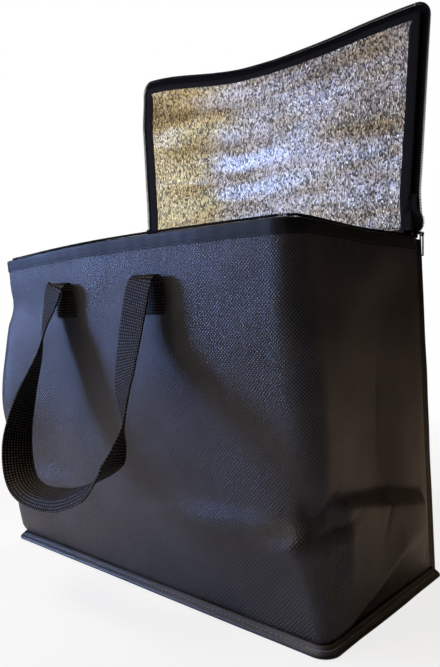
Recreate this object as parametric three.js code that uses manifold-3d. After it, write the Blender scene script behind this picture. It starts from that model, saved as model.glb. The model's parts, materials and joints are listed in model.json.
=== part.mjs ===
// Insulated cooler bag: a soft black carrier with foil-faced foam walls, a zipped lid that hinges on the
// back rim and two webbing handles. Millimetres, +Z up, front towards -Y, right-hand side towards +X.
// The origin is the centre of the base panel's underside.
import * as THREE from 'three';
import { mergeVertices } from 'three/addons/utils/BufferGeometryUtils.js';
import Module from 'manifold-3d';

const wasm = await Module();
wasm.setup();

// Body
const BASE_WIDTH = 410;
const BASE_DEPTH = 190;
const BAG_HEIGHT = 330;
const MOUTH_FRONT_TAPER = 4; // the mouth is narrower than the base by this much at the front
const MOUTH_BACK_TAPER = 26; // and by this much along the back seam
const MOUTH_FRONT_WIDTH = BASE_WIDTH - MOUTH_FRONT_TAPER;
const MOUTH_BACK_WIDTH = BASE_WIDTH - MOUTH_BACK_TAPER;
const MOUTH_FLARE = 32; // how far the front wall leans out at the rim
const BASE_CORNER_RADIUS = 6;
const MOUTH_CORNER_RADIUS = 20;
const CORNER_SWELL = 16; // extra softness of the unsewn front corners at half height
const FRONT_BELLY = 5; // outward swell in the middle of the front wall
const GUSSET_TUCK = 7; // inward fold down the middle of each side wall

// How the soft wrap stands, as lengths out of its sewn pattern
const LEFT_BULGE = 22; // the left front corner is pushed out over the lower half of its height
const LEFT_FOOT = 9; // and stands over the base seam
const LEFT_DENT = 8; // but sinks in under the rim
const RIGHT_DENT = 6; // the right front corner is crumpled in at a third of its height
const FRONT_STEP = 8; // the front is set back above a level crease, most towards the right
const SIDE_STEP = 8; // the sides bulge below a level fold
const SIDE_CREASE = 4.6; // and have an upright crease above it
const SIDE_RIDGE = 5; // a ridge climbs each side from the lower front corner
const BULGE_REACH = 60; // how far along the wrap the left corner's swelling reaches
const DENT_REACH = 30;
const CORNER_RUN = 45; // length of a soft corner along the wrap
const FRONT_RUN = BASE_WIDTH - 60; // and of the front panel between the corners

// Layers of a wall, from outside to inside
const FABRIC = 0.8;
const FOAM = 3;
const FOIL = 0.4;
const BOARD = 2;
const LAYER_GAP = 0.3;
const WALL = FABRIC + FOAM + FOIL + 2 * LAYER_GAP;
const FOAM_DEPTH = FABRIC + LAYER_GAP;
const FOIL_DEPTH = FOAM_DEPTH + FOAM + LAYER_GAP;

// Bindings: folded tapes that cover the cut edges
const TAPE = 0.7;
const RIM_BINDING = 12; // depth of the hem round the mouth
const SEAM_BINDING = 10; // width of the bound seam round the base
const SEAM_TILT = THREE.MathUtils.degToRad(40); // the base seam points outwards and down
const BACK_SEAM = 12; // width of the bound seams down the back corners
const SEAM_THICKNESS = 2.6;
const SEAM_ROUND = 1; // how far back from its outer edge a back seam begins to round off
const EDGE_DROP = 1; // the walls' cut edges stop this far below the rim

// Zip
const COIL = 2.4; // width of one half of the zip chain
const COIL_HEIGHT = 2.2;
const CHAIN_GAP = 1.3; // between the two open halves when the lid is laid shut
const ZIP_TAPE = 0.6;
const RIM_TAPE_HEIGHT = 12; // rim tape sewn inside the hem
const LID_TAPE_WIDTH = 6.3; // lid tape from its coil to the lid binding
const ZIP_TAIL = 13; // the zip runs past the back wall by this much
const STOP = 2.5;
const SLIDER_LENGTH = 13;
const SLIDER_PLATE = 1.2;
const LUG = 2;
const LUG_WALL = 1.2; // metal round the eye that carries the pull
const PULL_LENGTH = 22;
const PULL_WIDTH = 8;
const PULL_WIRE = 1.2;

// Lid and its fabric hinge
const LID_BINDING = 11.5;
const LID_OPEN_ANGLE = THREE.MathUtils.degToRad(92); // as it stands open, from lying shut
const HINGE_BEAD = 2.5; // radius of the rolled fabric that the lid turns on
const HINGE_NECK = 1.2;
const LID_ZIP_START = 12; // the lid's zip begins this far from the hinge
const HINGE_INSET = 22; // the hinge stops this far short of the bag's back corners

// Handles
const STRAP_WIDTH = 30;
const STRAP = 1.6;
const HANDLE_SPACING = 126; // between the centres of the two sewn ends
const HANDLE_SHIFT = -12; // the pair sits this far off the middle of the front
const HANDLE_FOLD_DEPTH = 40; // from the rim down to the fold at the top of the sewn ends
const SEWN_LENGTH = 29;
const FOLD_RADIUS = 3;
const HANDLE_DROP = 188; // the loop hangs this far below its fold
const HANDLE_STANDOFF = 55; // and its bottom stands this far off the wall
// The hanging loop's middle line as shares of half the spacing, of the standoff and of the drop.
const LOOP_SHARES = [
  [-1.12, 0.26, 0.22], [-1.3, 0.5, 0.55], [-1.38, 0.72, 0.75], [-1.16, 0.9, 0.94], [-0.52, 1, 1.04],
  [0.25, 1, 1.03], [0.92, 0.93, 0.9], [1.14, 0.75, 0.74], [0.92, 0.48, 0.5], [0.92, 0.3, 0.22],
];

// Steps of the lofted forms
const SIDE_STEPS = 8;
const CORNER_STEPS = 5;
const FRONT_STEPS = 10;
const WALL_ROWS = [
  0.03, 0.08, 0.136, 0.2, 0.25, 0.29, 0.34, 0.41, 0.485, 0.575, 0.665, 0.755, 0.83, 0.9, 0.95,
]; // shares of the bag's height
const STRAP_STEPS = 40;
const ARC_STEPS = 8;

const BACK_Y = BASE_DEPTH / 2;
const CLEAR = LAYER_GAP;
const { lerp, smoothstep } = THREE.MathUtils;
const swell = (share) => Math.sin(Math.PI * share) ** 2;
const hump = (value, middle, width) => Math.exp(-(((value - middle) / width) ** 2));
const crease = (away, width) => Math.exp(0.35 - Math.hypot(0.35, away / width));

const MATERIALS = {
  fabric: new THREE.MeshStandardMaterial({ color: 0x24262c, roughness: 0.62 }),
  binding: new THREE.MeshStandardMaterial({ color: 0x17181c, roughness: 0.7 }),
  foam: new THREE.MeshStandardMaterial({ color: 0xe9e9e4, roughness: 0.95 }),
  foil: new THREE.MeshStandardMaterial({ color: 0xc9cbd0, roughness: 0.25, metalness: 1 }),
  board: new THREE.MeshStandardMaterial({ color: 0x3a3a3c, roughness: 0.8 }),
  webbing: new THREE.MeshStandardMaterial({ color: 0x121316, roughness: 0.75 }),
  zip: new THREE.MeshStandardMaterial({ color: 0x0e0f11, roughness: 0.55 }),
  metal: new THREE.MeshStandardMaterial({ color: 0x8d8f93, roughness: 0.35, metalness: 1 }),
};

// A closed geometry from points and triangles, with its faces turned outwards.
function closedGeometry(points, triangles) {
  const normal = new THREE.Vector3();
  const volume = triangles.reduce(
    (sum, [a, b, c]) => sum + points[a].dot(normal.crossVectors(points[b], points[c])),
    0,
  );
  const facing = volume < 0 ? triangles.map(([a, b, c]) => [a, c, b]) : triangles;
  return new THREE.BufferGeometry().setFromPoints(points).setIndex(facing.flat());
}

// Joins rings of points, one closed section each, into a solid. The contour is the section in its own
// plane and closes the two ends; without it the last ring joins the first. Bent faces are split along the
// diagonal that rises, or leads to +X if the ring is level, on a sheet's two sides alike, so that its
// thickness stays even and neighbouring layers stay parallel.
function loft(rings, contour) {
  const count = rings[0].length;
  const points = rings.flat();
  const triangles = [];
  const joins = contour ? rings.length - 1 : rings.length;
  for (let i = 0; i < joins; i++) {
    const here = i * count;
    const there = ((i + 1) % rings.length) * count;
    for (let j = 0; j < count; j++) {
      const k = (j + 1) % count;
      const rise = rings[0][k].z - rings[0][j].z || rings[0][k].x - rings[0][j].x;
      if (rise >= 0) {
        triangles.push([here + j, here + k, there + k], [here + j, there + k, there + j]);
      } else {
        triangles.push([here + j, here + k, there + j], [here + k, there + k, there + j]);
      }
    }
  }
  if (contour) {
    const last = (rings.length - 1) * count;
    const plane = contour.map(([x, y]) => new THREE.Vector2(x, y));
    const reversed = THREE.ShapeUtils.isClockWise(plane);
    for (const [a, b, c] of THREE.ShapeUtils.triangulateShape(plane, [])) {
      const [q, r] = reversed ? [c, b] : [b, c];
      triangles.push([a, r, q], [last + a, last + q, last + r]);
    }
  }
  return closedGeometry(points, triangles);
}

// A geometry as a solid for joining and cutting, and back again.
function toSolid(geometry) {
  const bare = geometry.clone();
  bare.deleteAttribute('normal');
  bare.deleteAttribute('uv');
  const merged = mergeVertices(bare, 1e-4);
  return new wasm.Manifold(
    new wasm.Mesh({
      numProp: 3,
      vertProperties: merged.attributes.position.array,
      triVerts: new Uint32Array(merged.index.array),
    }),
  );
}

function toGeometry(solid) {
  const mesh = solid.getMesh();
  return new THREE.BufferGeometry()
    .setAttribute('position', new THREE.BufferAttribute(mesh.vertProperties, 3))
    .setIndex(new THREE.BufferAttribute(mesh.triVerts, 1));
}

function join(...geometries) {
  return toGeometry(geometries.map(toSolid).reduce((all, next) => all.add(next)));
}

function piece(name, geometry, material) {
  const mesh = new THREE.Mesh(geometry, material);
  mesh.name = name;
  return mesh;
}

// Extrudes a shape drawn in the (Y, Z) plane along X, from one x to another.
function extrudeAlongX(shape, fromX, toX) {
  const geometry = new THREE.ExtrudeGeometry(shape, {
    depth: toX - fromX,
    bevelEnabled: false,
    curveSegments: ARC_STEPS,
  });
  const axes = new THREE.Matrix4().makeBasis(
    new THREE.Vector3(0, 1, 0),
    new THREE.Vector3(0, 0, 1),
    new THREE.Vector3(1, 0, 0),
  );
  return geometry.applyMatrix4(axes).translate(fromX, 0, 0);
}

function polygon(points) {
  return new THREE.Shape(points.map(([x, y]) => new THREE.Vector2(x, y)));
}

function rectangle(x0, y0, x1, y1) {
  return [[x0, y0], [x1, y0], [x1, y1], [x0, y1]];
}

// A bar's section with its four corners cut off.
function chamfered(x0, y0, x1, y1, cut) {
  return [
    [x0 + cut, y0], [x1 - cut, y0], [x1, y0 + cut], [x1, y1 - cut],
    [x1 - cut, y1], [x0 + cut, y1], [x0, y1 - cut], [x0, y0 + cut],
  ];
}

// The points of a corner rounded to a radius, between the lines from `from` and to `to`.
function roundedCorner(from, corner, to, radius) {
  const inward = from.clone().sub(corner).normalize();
  const outward = to.clone().sub(corner).normalize();
  const half = Math.acos(THREE.MathUtils.clamp(inward.dot(outward), -1, 1)) / 2;
  const middle = inward.clone().add(outward).normalize();
  const centre = corner.clone().addScaledVector(middle, radius / Math.sin(half));
  const reach = radius / Math.tan(half);
  const start = corner.clone().addScaledVector(inward, reach).sub(centre);
  const end = corner.clone().addScaledVector(outward, reach).sub(centre);
  const clockwise = start.cross(end) < 0;
  const arc = new THREE.EllipseCurve(
    centre.x, centre.y, radius, radius, start.angle(), end.angle(), clockwise,
  );
  return arc.getPoints(CORNER_STEPS);
}

function straight(from, to, steps) {
  return new THREE.LineCurve(from, to).getPoints(steps);
}

// Plan of the bag at a height, taken in by an inset from the outer face: the four sharp corners and the
// radius that softens the two front ones.
function planAt(z, inset) {
  const rise = THREE.MathUtils.clamp(z / BAG_HEIGHT, 0, 1);
  const front = -BACK_Y - MOUTH_FLARE * rise + inset;
  const frontHalf = lerp(BASE_WIDTH, MOUTH_FRONT_WIDTH, rise) / 2 - inset;
  const backHalf = lerp(BASE_WIDTH, MOUTH_BACK_WIDTH, rise) / 2 - inset;
  const soft = lerp(BASE_CORNER_RADIUS, MOUTH_CORNER_RADIUS, rise) + CORNER_SWELL * Math.sin(Math.PI * rise);
  return { rise, front, frontHalf, backHalf, radius: Math.max(soft - inset, 1) };
}

// The side line's half width at a depth y, on the way from the back corner to the front one.
function halfWidthAt(plan, y) {
  return lerp(plan.backHalf, plan.frontHalf, (BACK_Y - y) / (BACK_Y - plan.front));
}

// A side wall's folds, at a share q of the way from the front corner to the back seam.
function sideRelief(q, rise) {
  const level = 0.35 - 0.1 * q;
  const below = smoothstep(rise, 0.012, 0.18) * (1 - smoothstep(rise, level - 0.027, level + 0.024));
  const above = smoothstep(rise, level - 0.036, level + 0.03) * (1 - smoothstep(rise, 0.79, 0.945));
  const away = rise - 0.024 - 0.212 * Math.min(q, 0.62);
  const ridge = crease(away, 0.033) - 0.68 * smoothstep(-away, 0, 0.067);
  const out = SIDE_STEP * below - SIDE_CREASE * crease(q - 0.58, 0.14) * above
    + SIDE_RIDGE * ridge * (1 - smoothstep(q, 0.6, 0.92));
  return out * smoothstep(q, 0, 0.12) * (1 - smoothstep(q, 0.9, 1));
}

// How far the soft wrap stands out of its pattern. Stations count the panels and corners along it: 0 to 1
// is the left side, 2 to 3 the front and 4 to 5 the right side. Its cut edges and its hem stay true.
function relief(station, rise) {
  const apart = Math.abs(station - 2.5);
  const corner = THREE.MathUtils.clamp(apart - 0.5, 0, 1);
  const q = Math.max(apart - 1.5, 0);
  const run = Math.min(apart, 0.5) * FRONT_RUN + corner * CORNER_RUN + q * BASE_DEPTH;
  const along = Math.sign(station - 2.5) * run;
  const middle = (FRONT_RUN + CORNER_RUN) / 2;
  const share = (2 * along) / FRONT_RUN;
  const bulge = LEFT_BULGE * hump(rise, 0.485, 0.227) + LEFT_FOOT * hump(rise, 0.136, 0.121);
  const left = bulge - LEFT_DENT * hump(rise, 0.858, 0.091);
  const set = smoothstep(share, -0.17, 0.94) + 0.44 * smoothstep(-share, 0.23, 0.86);
  const step = smoothstep(rise, 0.24, 0.312) * (1 - smoothstep(rise, 0.41, 0.818));
  const out = left * hump(along, -middle, BULGE_REACH)
    - RIGHT_DENT * hump(along - middle, CORNER_RUN / 5, DENT_REACH) * hump(rise, 0.327, 0.061)
    - FRONT_STEP * set * step * (1 - smoothstep(Math.abs(share), 1, 1.25))
    + sideRelief(q, rise) * (along < 0 ? 0.8 : 1);
  return out * smoothstep(rise, 0.03, 0.08) * (1 - smoothstep(rise, 0.9, 0.95));
}

// The outward direction at a station, given the right side's own.
function outwardAt(station, sideAngle) {
  const corner = THREE.MathUtils.clamp(Math.abs(station - 2.5) - 0.5, 0, 1);
  const angle = lerp(-Math.PI / 2, sideAngle, corner);
  return new THREE.Vector2(Math.sign(station - 2.5) * Math.cos(angle), Math.sin(angle));
}

// Stations along the wrap, from the left back edge round the front to the right back edge. Every
// height and inset has the same number of stations, so sections join across them.
function wrapStations(z, inset, endY) {
  const plan = planAt(z, inset);
  const leftEnd = new THREE.Vector2(-halfWidthAt(plan, endY), endY);
  const rightEnd = new THREE.Vector2(halfWidthAt(plan, endY), endY);
  const leftCorner = new THREE.Vector2(-plan.frontHalf, plan.front);
  const rightCorner = new THREE.Vector2(plan.frontHalf, plan.front);
  const leftArc = roundedCorner(leftEnd, leftCorner, rightCorner, plan.radius);
  const rightArc = roundedCorner(leftCorner, rightCorner, rightEnd, plan.radius);
  const left = straight(leftEnd, leftArc[0], SIDE_STEPS);
  const front = straight(leftArc.at(-1), rightArc[0], FRONT_STEPS);
  const right = straight(rightArc.at(-1), rightEnd, SIDE_STEPS);
  const tuck = GUSSET_TUCK * swell(plan.rise);
  const belly = FRONT_BELLY * swell(plan.rise);
  left.forEach((p, i) => (p.x += tuck * swell(i / SIDE_STEPS)));
  right.forEach((p, i) => (p.x -= tuck * swell(i / SIDE_STEPS)));
  front.forEach((p, i) => (p.y -= belly * swell(i / FRONT_STEPS)));
  const runs = [left, leftArc, front, rightArc, right];
  const sideAngle = Math.atan2(rightCorner.x - rightEnd.x, rightEnd.y - rightCorner.y);
  return runs.flatMap((run, panel) => {
    const moved = run.map((p, i) => {
      const station = panel + i / (run.length - 1);
      return p.addScaledVector(outwardAt(station, sideAngle), relief(station, plan.rise));
    });
    return panel ? moved.slice(1) : moved;
  });
}

// Sweeps a section of [inset, z] points along the wrap. A shift moves it into another frame.
function sweepWrap(section, endY, shift = new THREE.Vector3()) {
  const lines = section.map(([inset, z]) =>
    wrapStations(z, inset, endY).map((p) => new THREE.Vector3(p.x, p.y, z).add(shift)),
  );
  const rings = lines[0].map((_, i) => lines.map((line) => line[i]));
  return loft(rings, section);
}

// A wall's section, divided over its height so that it follows the wall's swell.
function wallSection(outer, inner, bottom, top) {
  const heights = [bottom, ...WALL_ROWS.map((share) => share * BAG_HEIGHT), top];
  return [...heights.map((z) => [outer, z]), ...heights.reverse().map((z) => [inner, z])];
}

// y of the front wall's outer face at a place on it.
function frontFace(x, z) {
  const plan = planAt(z, 0);
  const half = plan.frontHalf - plan.radius;
  const share = THREE.MathUtils.clamp((x + half) / (2 * half), 0, 1);
  return plan.front - FRONT_BELLY * swell(plan.rise) * swell(share);
}

// The closed outline of the bag at a height and an inset. The sewn back corners are sharp, so an outline
// that runs outside them rounds them only by its own distance.
function closedOutline(z, inset) {
  const plan = planAt(z, inset);
  const back = BACK_Y - inset;
  const corners = [
    [-plan.backHalf, back], [-plan.frontHalf, plan.front],
    [plan.frontHalf, plan.front], [plan.backHalf, back],
  ].map(([x, y]) => new THREE.Vector2(x, y));
  const sharp = Math.max(-inset, 1);
  const radii = [sharp, plan.radius, plan.radius, sharp];
  return corners.flatMap((corner, i) =>
    roundedCorner(corners.at(i - 1), corner, corners[(i + 1) % corners.length], radii[i]),
  );
}

function basePlate(inset, bottom, thickness) {
  const shape = new THREE.Shape(closedOutline(bottom + thickness, inset));
  return new THREE.ExtrudeGeometry(shape, { depth: thickness, bevelEnabled: false }).translate(0, 0, bottom);
}

// Base: outer panel, stiff board, foam and foil, stacked inside the walls.
const BOARD_Z = FABRIC + LAYER_GAP;
const BASE_FOAM_Z = BOARD_Z + BOARD + LAYER_GAP;
const BASE_FOIL_Z = BASE_FOAM_Z + FOAM + LAYER_GAP;

function baseAssembly() {
  const inside = WALL + LAYER_GAP;
  return [
    piece('outer_base', basePlate(0, 0, FABRIC), MATERIALS.fabric),
    piece('base_board', basePlate(inside, BOARD_Z, BOARD), MATERIALS.board),
    piece('base_foam', basePlate(inside, BASE_FOAM_Z, FOAM), MATERIALS.foam),
    piece('base_liner', basePlate(inside, BASE_FOIL_Z, FOIL), MATERIALS.foil),
    piece('base_binding', baseBinding(), MATERIALS.binding),
  ];
}

// The bound seam round the base: a flat folded tape that points outwards and down to the floor.
function baseBinding() {
  const along = new THREE.Vector2(Math.cos(SEAM_TILT), -Math.sin(SEAM_TILT));
  const across = new THREE.Vector2(Math.sin(SEAM_TILT), Math.cos(SEAM_TILT));
  const half = SEAM_THICKNESS / 2;
  const root = new THREE.Vector2(
    CLEAR + half * across.x,
    CLEAR + SEAM_BINDING * Math.sin(SEAM_TILT) + half * across.y,
  );
  const round = SEAM_BINDING - half;
  const section = [[0, -half], [round, -half], [SEAM_BINDING, 0], [round, half], [0, half]]
    .map(([t, s]) => root.clone().addScaledVector(along, t).addScaledVector(across, s));
  const lines = section.map((p) => closedOutline(p.y, -p.x).map((q) => new THREE.Vector3(q.x, q.y, p.y)));
  return loft(lines[0].map((_, i) => lines.map((line) => line[i])));
}

// Walls: one wrap for the front and both sides, and a flat back panel between the back seams.
const WALL_BOTTOM = FABRIC + LAYER_GAP;
const WALL_TOP = BAG_HEIGHT - EDGE_DROP;
const WRAP_END_Y = BACK_Y - WALL - LAYER_GAP;

function wrapLayer(depth, thickness) {
  return sweepWrap(wallSection(depth, depth + thickness, WALL_BOTTOM, WALL_TOP), WRAP_END_Y);
}

function backLayer(depth, thickness) {
  const bottomHalf = planAt(WALL_BOTTOM, 0).backHalf;
  const topHalf = planAt(WALL_TOP, 0).backHalf;
  const shape = polygon([
    [-bottomHalf, WALL_BOTTOM], [bottomHalf, WALL_BOTTOM], [topHalf, WALL_TOP], [-topHalf, WALL_TOP],
  ]);
  return new THREE.ExtrudeGeometry(shape, { depth: thickness, bevelEnabled: false })
    .rotateX(Math.PI / 2)
    .translate(0, BACK_Y - depth, 0);
}

// A bound seam down one back corner: a flat tape with a round outer edge that points backwards.
function backBinding(side) {
  const bottom = 2 * CLEAR + SEAM_BINDING * Math.sin(SEAM_TILT) + SEAM_THICKNESS * Math.cos(SEAM_TILT);
  const section = [
    [-SEAM_THICKNESS, CLEAR], [0, CLEAR], [0, BACK_SEAM - SEAM_ROUND], [-SEAM_THICKNESS / 2, BACK_SEAM],
    [-SEAM_THICKNESS, BACK_SEAM - SEAM_ROUND],
  ];
  const rings = [bottom, WALL_TOP - CLEAR].map((z) =>
    section.map(([x, y]) => new THREE.Vector3(side * (planAt(z, 0).backHalf + x), BACK_Y + y, z)),
  );
  return loft(rings, section);
}

// The hem: a tape folded over the walls' cut edges.
function rimBinding() {
  const low = BAG_HEIGHT - RIM_BINDING;
  const outer = -CLEAR;
  const inner = WALL + CLEAR;
  const roof = BAG_HEIGHT - TAPE;
  return sweepWrap([
    [outer - TAPE, low], [outer, low], [outer, roof], [inner, roof], [inner, low],
    [inner + TAPE, low], [inner + TAPE, BAG_HEIGHT], [outer - TAPE, BAG_HEIGHT],
  ], WRAP_END_Y);
}

function wallAssembly() {
  return [
    piece('outer_wrap', wrapLayer(0, FABRIC), MATERIALS.fabric),
    piece('wrap_foam', wrapLayer(FOAM_DEPTH, FOAM), MATERIALS.foam),
    piece('wrap_liner', wrapLayer(FOIL_DEPTH, FOIL), MATERIALS.foil),
    piece('outer_back', backLayer(0, FABRIC), MATERIALS.fabric),
    piece('back_foam', backLayer(FOAM_DEPTH, FOAM), MATERIALS.foam),
    piece('back_liner', backLayer(FOIL_DEPTH, FOIL), MATERIALS.foil),
    piece('rim_binding', rimBinding(), MATERIALS.binding),
    piece('back_binding_left', backBinding(-1), MATERIALS.binding),
    piece('back_binding_right', backBinding(1), MATERIALS.binding),
  ];
}

// Zip on the rim: a tape sewn inside the hem, with the coil standing along its top edge.
const RIM_TAPE_DEPTH = WALL + 2 * CLEAR + TAPE;
const COIL_CENTRE = RIM_TAPE_DEPTH + ZIP_TAPE / 2;
const RIM_COIL_Z = BAG_HEIGHT + COIL / 2;
const LID_COIL_Z = RIM_COIL_Z + COIL_HEIGHT + CHAIN_GAP;
const ZIP_TAIL_Y = BACK_Y + ZIP_TAIL;

function coilSection(bottom) {
  const half = COIL / 2;
  return chamfered(COIL_CENTRE - half, bottom, COIL_CENTRE + half, bottom + COIL_HEIGHT, half / 2);
}

function zipStop(side) {
  const plan = planAt(BAG_HEIGHT, COIL_CENTRE);
  const half = COIL / 2;
  const y = ZIP_TAIL_Y + CLEAR;
  const shape = polygon(chamfered(-half, RIM_COIL_Z, half, RIM_COIL_Z + COIL_HEIGHT, half / 2));
  return new THREE.ExtrudeGeometry(shape, { depth: STOP, bevelEnabled: false })
    .rotateX(Math.PI / 2)
    .translate(side * halfWidthAt(plan, y), y + STOP, 0);
}

function rimZip() {
  const top = RIM_COIL_Z - CLEAR;
  const tape = rectangle(
    RIM_TAPE_DEPTH, BAG_HEIGHT - RIM_TAPE_HEIGHT, RIM_TAPE_DEPTH + ZIP_TAPE, top,
  );
  return [
    piece('rim_zip_tape', sweepWrap(tape, WRAP_END_Y - CLEAR), MATERIALS.zip),
    piece('rim_zip_coil', sweepWrap(coilSection(RIM_COIL_Z), ZIP_TAIL_Y), MATERIALS.zip),
    piece('zip_stop_left', zipStop(-1), MATERIALS.metal),
    piece('zip_stop_right', zipStop(1), MATERIALS.metal),
  ];
}

// Hinge: a tape folded over the back wall's edge, with a neck and a rolled bead that the lid turns on.
const HINGE_Y = BACK_Y - WALL / 2;
const HINGE_Z = LID_COIL_Z + COIL_HEIGHT / 2;
const HINGE_HALF = MOUTH_BACK_WIDTH / 2 - HINGE_INSET;

function hingeTape() {
  const low = BAG_HEIGHT - RIM_BINDING;
  const half = WALL / 2 + CLEAR;
  const roof = BAG_HEIGHT - TAPE;
  const neck = HINGE_NECK / 2;
  const fold = polygon([
    [-half - TAPE, low], [-half, low], [-half, roof], [half, roof], [half, low], [half + TAPE, low],
    [half + TAPE, BAG_HEIGHT], [neck, BAG_HEIGHT], [neck, HINGE_Z], [-neck, HINGE_Z], [-neck, BAG_HEIGHT],
    [-half - TAPE, BAG_HEIGHT],
  ]);
  const bead = new THREE.Shape().absarc(0, HINGE_Z, HINGE_BEAD, 0, 2 * Math.PI);
  const made = join(
    extrudeAlongX(fold, -HINGE_HALF, HINGE_HALF),
    extrudeAlongX(bead, -HINGE_HALF, HINGE_HALF),
  );
  return piece('hinge_tape', made.translate(0, HINGE_Y, 0), MATERIALS.binding);
}

// Lid, drawn lying shut with its hinge axis at the group's origin. Its edge follows the mouth.
const LID_EDGE = COIL_CENTRE + COIL / 2; // inset of the lid coil's inner side
const LID_TAPE_END = LID_EDGE + CLEAR + LID_TAPE_WIDTH;
const LID_FOLD = LID_TAPE_END + CLEAR; // inset of the lid binding's folded edge
const LID_PANEL = LID_FOLD + TAPE + CLEAR; // inset of the lid's layers
const LID_REAR_Y = HINGE_Y - HINGE_BEAD - CLEAR;
const TO_HINGE = new THREE.Vector3(0, -HINGE_Y, -HINGE_Z);

function lidLayer(bottom, thickness) {
  const shape = new THREE.Shape(wrapStations(BAG_HEIGHT, LID_PANEL, LID_REAR_Y));
  return new THREE.ExtrudeGeometry(shape, { depth: thickness, bevelEnabled: false })
    .translate(0, -HINGE_Y, bottom);
}

function lidBinding() {
  const half = WALL / 2 + CLEAR;
  const edge = LID_FOLD + LID_BINDING;
  const section = [
    [LID_FOLD, -half - TAPE], [edge, -half - TAPE], [edge, -half], [LID_FOLD + TAPE, -half],
    [LID_FOLD + TAPE, half], [edge, half], [edge, half + TAPE], [LID_FOLD, half + TAPE],
  ].map(([inset, z]) => [inset, HINGE_Z + z]);
  return sweepWrap(section, LID_REAR_Y, TO_HINGE);
}

function lidAssembly() {
  const lid = new THREE.Group();
  const foilZ = -WALL / 2;
  const foamZ = foilZ + FOIL + LAYER_GAP;
  const coverZ = foamZ + FOAM + LAYER_GAP;
  const tapeMiddle = LID_COIL_Z + COIL_HEIGHT / 2;
  const tape = rectangle(
    LID_EDGE + CLEAR, tapeMiddle - ZIP_TAPE / 2, LID_TAPE_END, tapeMiddle + ZIP_TAPE / 2,
  );
  const zipEnd = HINGE_Y - LID_ZIP_START;
  lid.add(
    piece('lid_cover', lidLayer(coverZ, FABRIC), MATERIALS.fabric),
    piece('lid_foam', lidLayer(foamZ, FOAM), MATERIALS.foam),
    piece('lid_liner', lidLayer(foilZ, FOIL), MATERIALS.foil),
    piece('lid_binding', lidBinding(), MATERIALS.binding),
    piece('lid_zip_tape', sweepWrap(tape, zipEnd, TO_HINGE), MATERIALS.zip),
    piece('lid_zip_coil', sweepWrap(coilSection(LID_COIL_Z), zipEnd, TO_HINGE), MATERIALS.zip),
  );
  lid.position.set(0, HINGE_Y, HINGE_Z);
  lid.rotation.x = -LID_OPEN_ANGLE;
  return lid;
}

// Slider, drawn with the rim coil's centre line as its Y axis and z measured from the rim. Two plates hold
// the coils, joined by a post between them, and a lug reaches out over the hem to carry the pull.
const POST = CHAIN_GAP - 2 * CLEAR;
const PLATE_FACE = COIL / 2 + CLEAR;
const SLIDER_BOTTOM = CLEAR;
const SLIDER_TOP = LID_COIL_Z + COIL_HEIGHT + CLEAR - BAG_HEIGHT;
const PULL_AXIS_X = COIL_CENTRE + CLEAR + TAPE + CLEAR + PULL_WIRE; // outside the hem
const PULL_AXIS_Z = (SLIDER_BOTTOM + SLIDER_TOP) / 2;
const LUG_HOLE = PULL_WIRE * Math.SQRT1_2 + CLEAR;
const LUG_RADIUS = LUG_HOLE + LUG_WALL;

function sliderPlate(inner, outer, top) {
  const half = SLIDER_LENGTH / 2;
  const nose = SLIDER_LENGTH / 5;
  const shoulder = (top - SLIDER_BOTTOM) / 4;
  const shape = polygon([
    [-half, SLIDER_BOTTOM + shoulder], [-half + nose, SLIDER_BOTTOM], [half - nose, SLIDER_BOTTOM],
    [half, SLIDER_BOTTOM + shoulder], [half, top - shoulder], [half - nose, top], [-half + nose, top],
    [-half, top - shoulder],
  ]);
  return extrudeAlongX(shape, inner, outer);
}

function sliderBody() {
  const inside = SLIDER_PLATE / 2;
  const outerPlate = sliderPlate(PLATE_FACE, PLATE_FACE + SLIDER_PLATE, SLIDER_TOP);
  const innerTop = LID_COIL_Z - BAG_HEIGHT + COIL_HEIGHT / 2 - ZIP_TAPE / 2 - CLEAR;
  const innerPlate = sliderPlate(-PLATE_FACE - SLIDER_PLATE, -PLATE_FACE, innerTop);
  const postZ = RIM_COIL_Z + COIL_HEIGHT + CLEAR - BAG_HEIGHT;
  const postEnd = -SLIDER_LENGTH / 4;
  const post = extrudeAlongX(
    polygon(rectangle(postEnd, postZ, postEnd + SLIDER_LENGTH / 3, postZ + POST)),
    -PLATE_FACE - inside, PLATE_FACE + inside,
  );
  return join(outerPlate, innerPlate, post, sliderLug());
}

function sliderLug() {
  const root = PLATE_FACE + SLIDER_PLATE / 2;
  const shape = new THREE.Shape();
  shape.moveTo(root, PULL_AXIS_Z - LUG_RADIUS);
  shape.absarc(PULL_AXIS_X, PULL_AXIS_Z, LUG_RADIUS, -Math.PI / 2, Math.PI / 2);
  shape.lineTo(root, PULL_AXIS_Z + LUG_RADIUS);
  shape.holes.push(new THREE.Path().absarc(PULL_AXIS_X, PULL_AXIS_Z, LUG_HOLE, 0, 2 * Math.PI));
  return new THREE.ExtrudeGeometry(shape, { depth: LUG, bevelEnabled: false, curveSegments: ARC_STEPS })
    .rotateX(Math.PI / 2)
    .translate(0, LUG / 2, 0);
}

// A rounded loop of wire that hangs from the lug, its top run through the lug's eye.
function loopShape(width, top, bottom, radius) {
  const half = width / 2;
  return new THREE.Shape()
    .moveTo(-half + radius, bottom)
    .absarc(half - radius, bottom + radius, radius, -Math.PI / 2, 0)
    .absarc(half - radius, top - radius, radius, 0, Math.PI / 2)
    .absarc(-half + radius, top - radius, radius, Math.PI / 2, Math.PI)
    .absarc(-half + radius, bottom + radius, radius, Math.PI, 1.5 * Math.PI);
}

function zipPull() {
  const half = PULL_WIRE / 2;
  const top = PULL_AXIS_Z + half;
  const bottom = top - PULL_LENGTH;
  const shape = loopShape(PULL_WIDTH, top, bottom, PULL_WIRE * 1.4);
  shape.holes.push(loopShape(PULL_WIDTH - 2 * PULL_WIRE, top - PULL_WIRE, bottom + PULL_WIRE, half));
  return extrudeAlongX(shape, PULL_AXIS_X - half, PULL_AXIS_X + half);
}

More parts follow.
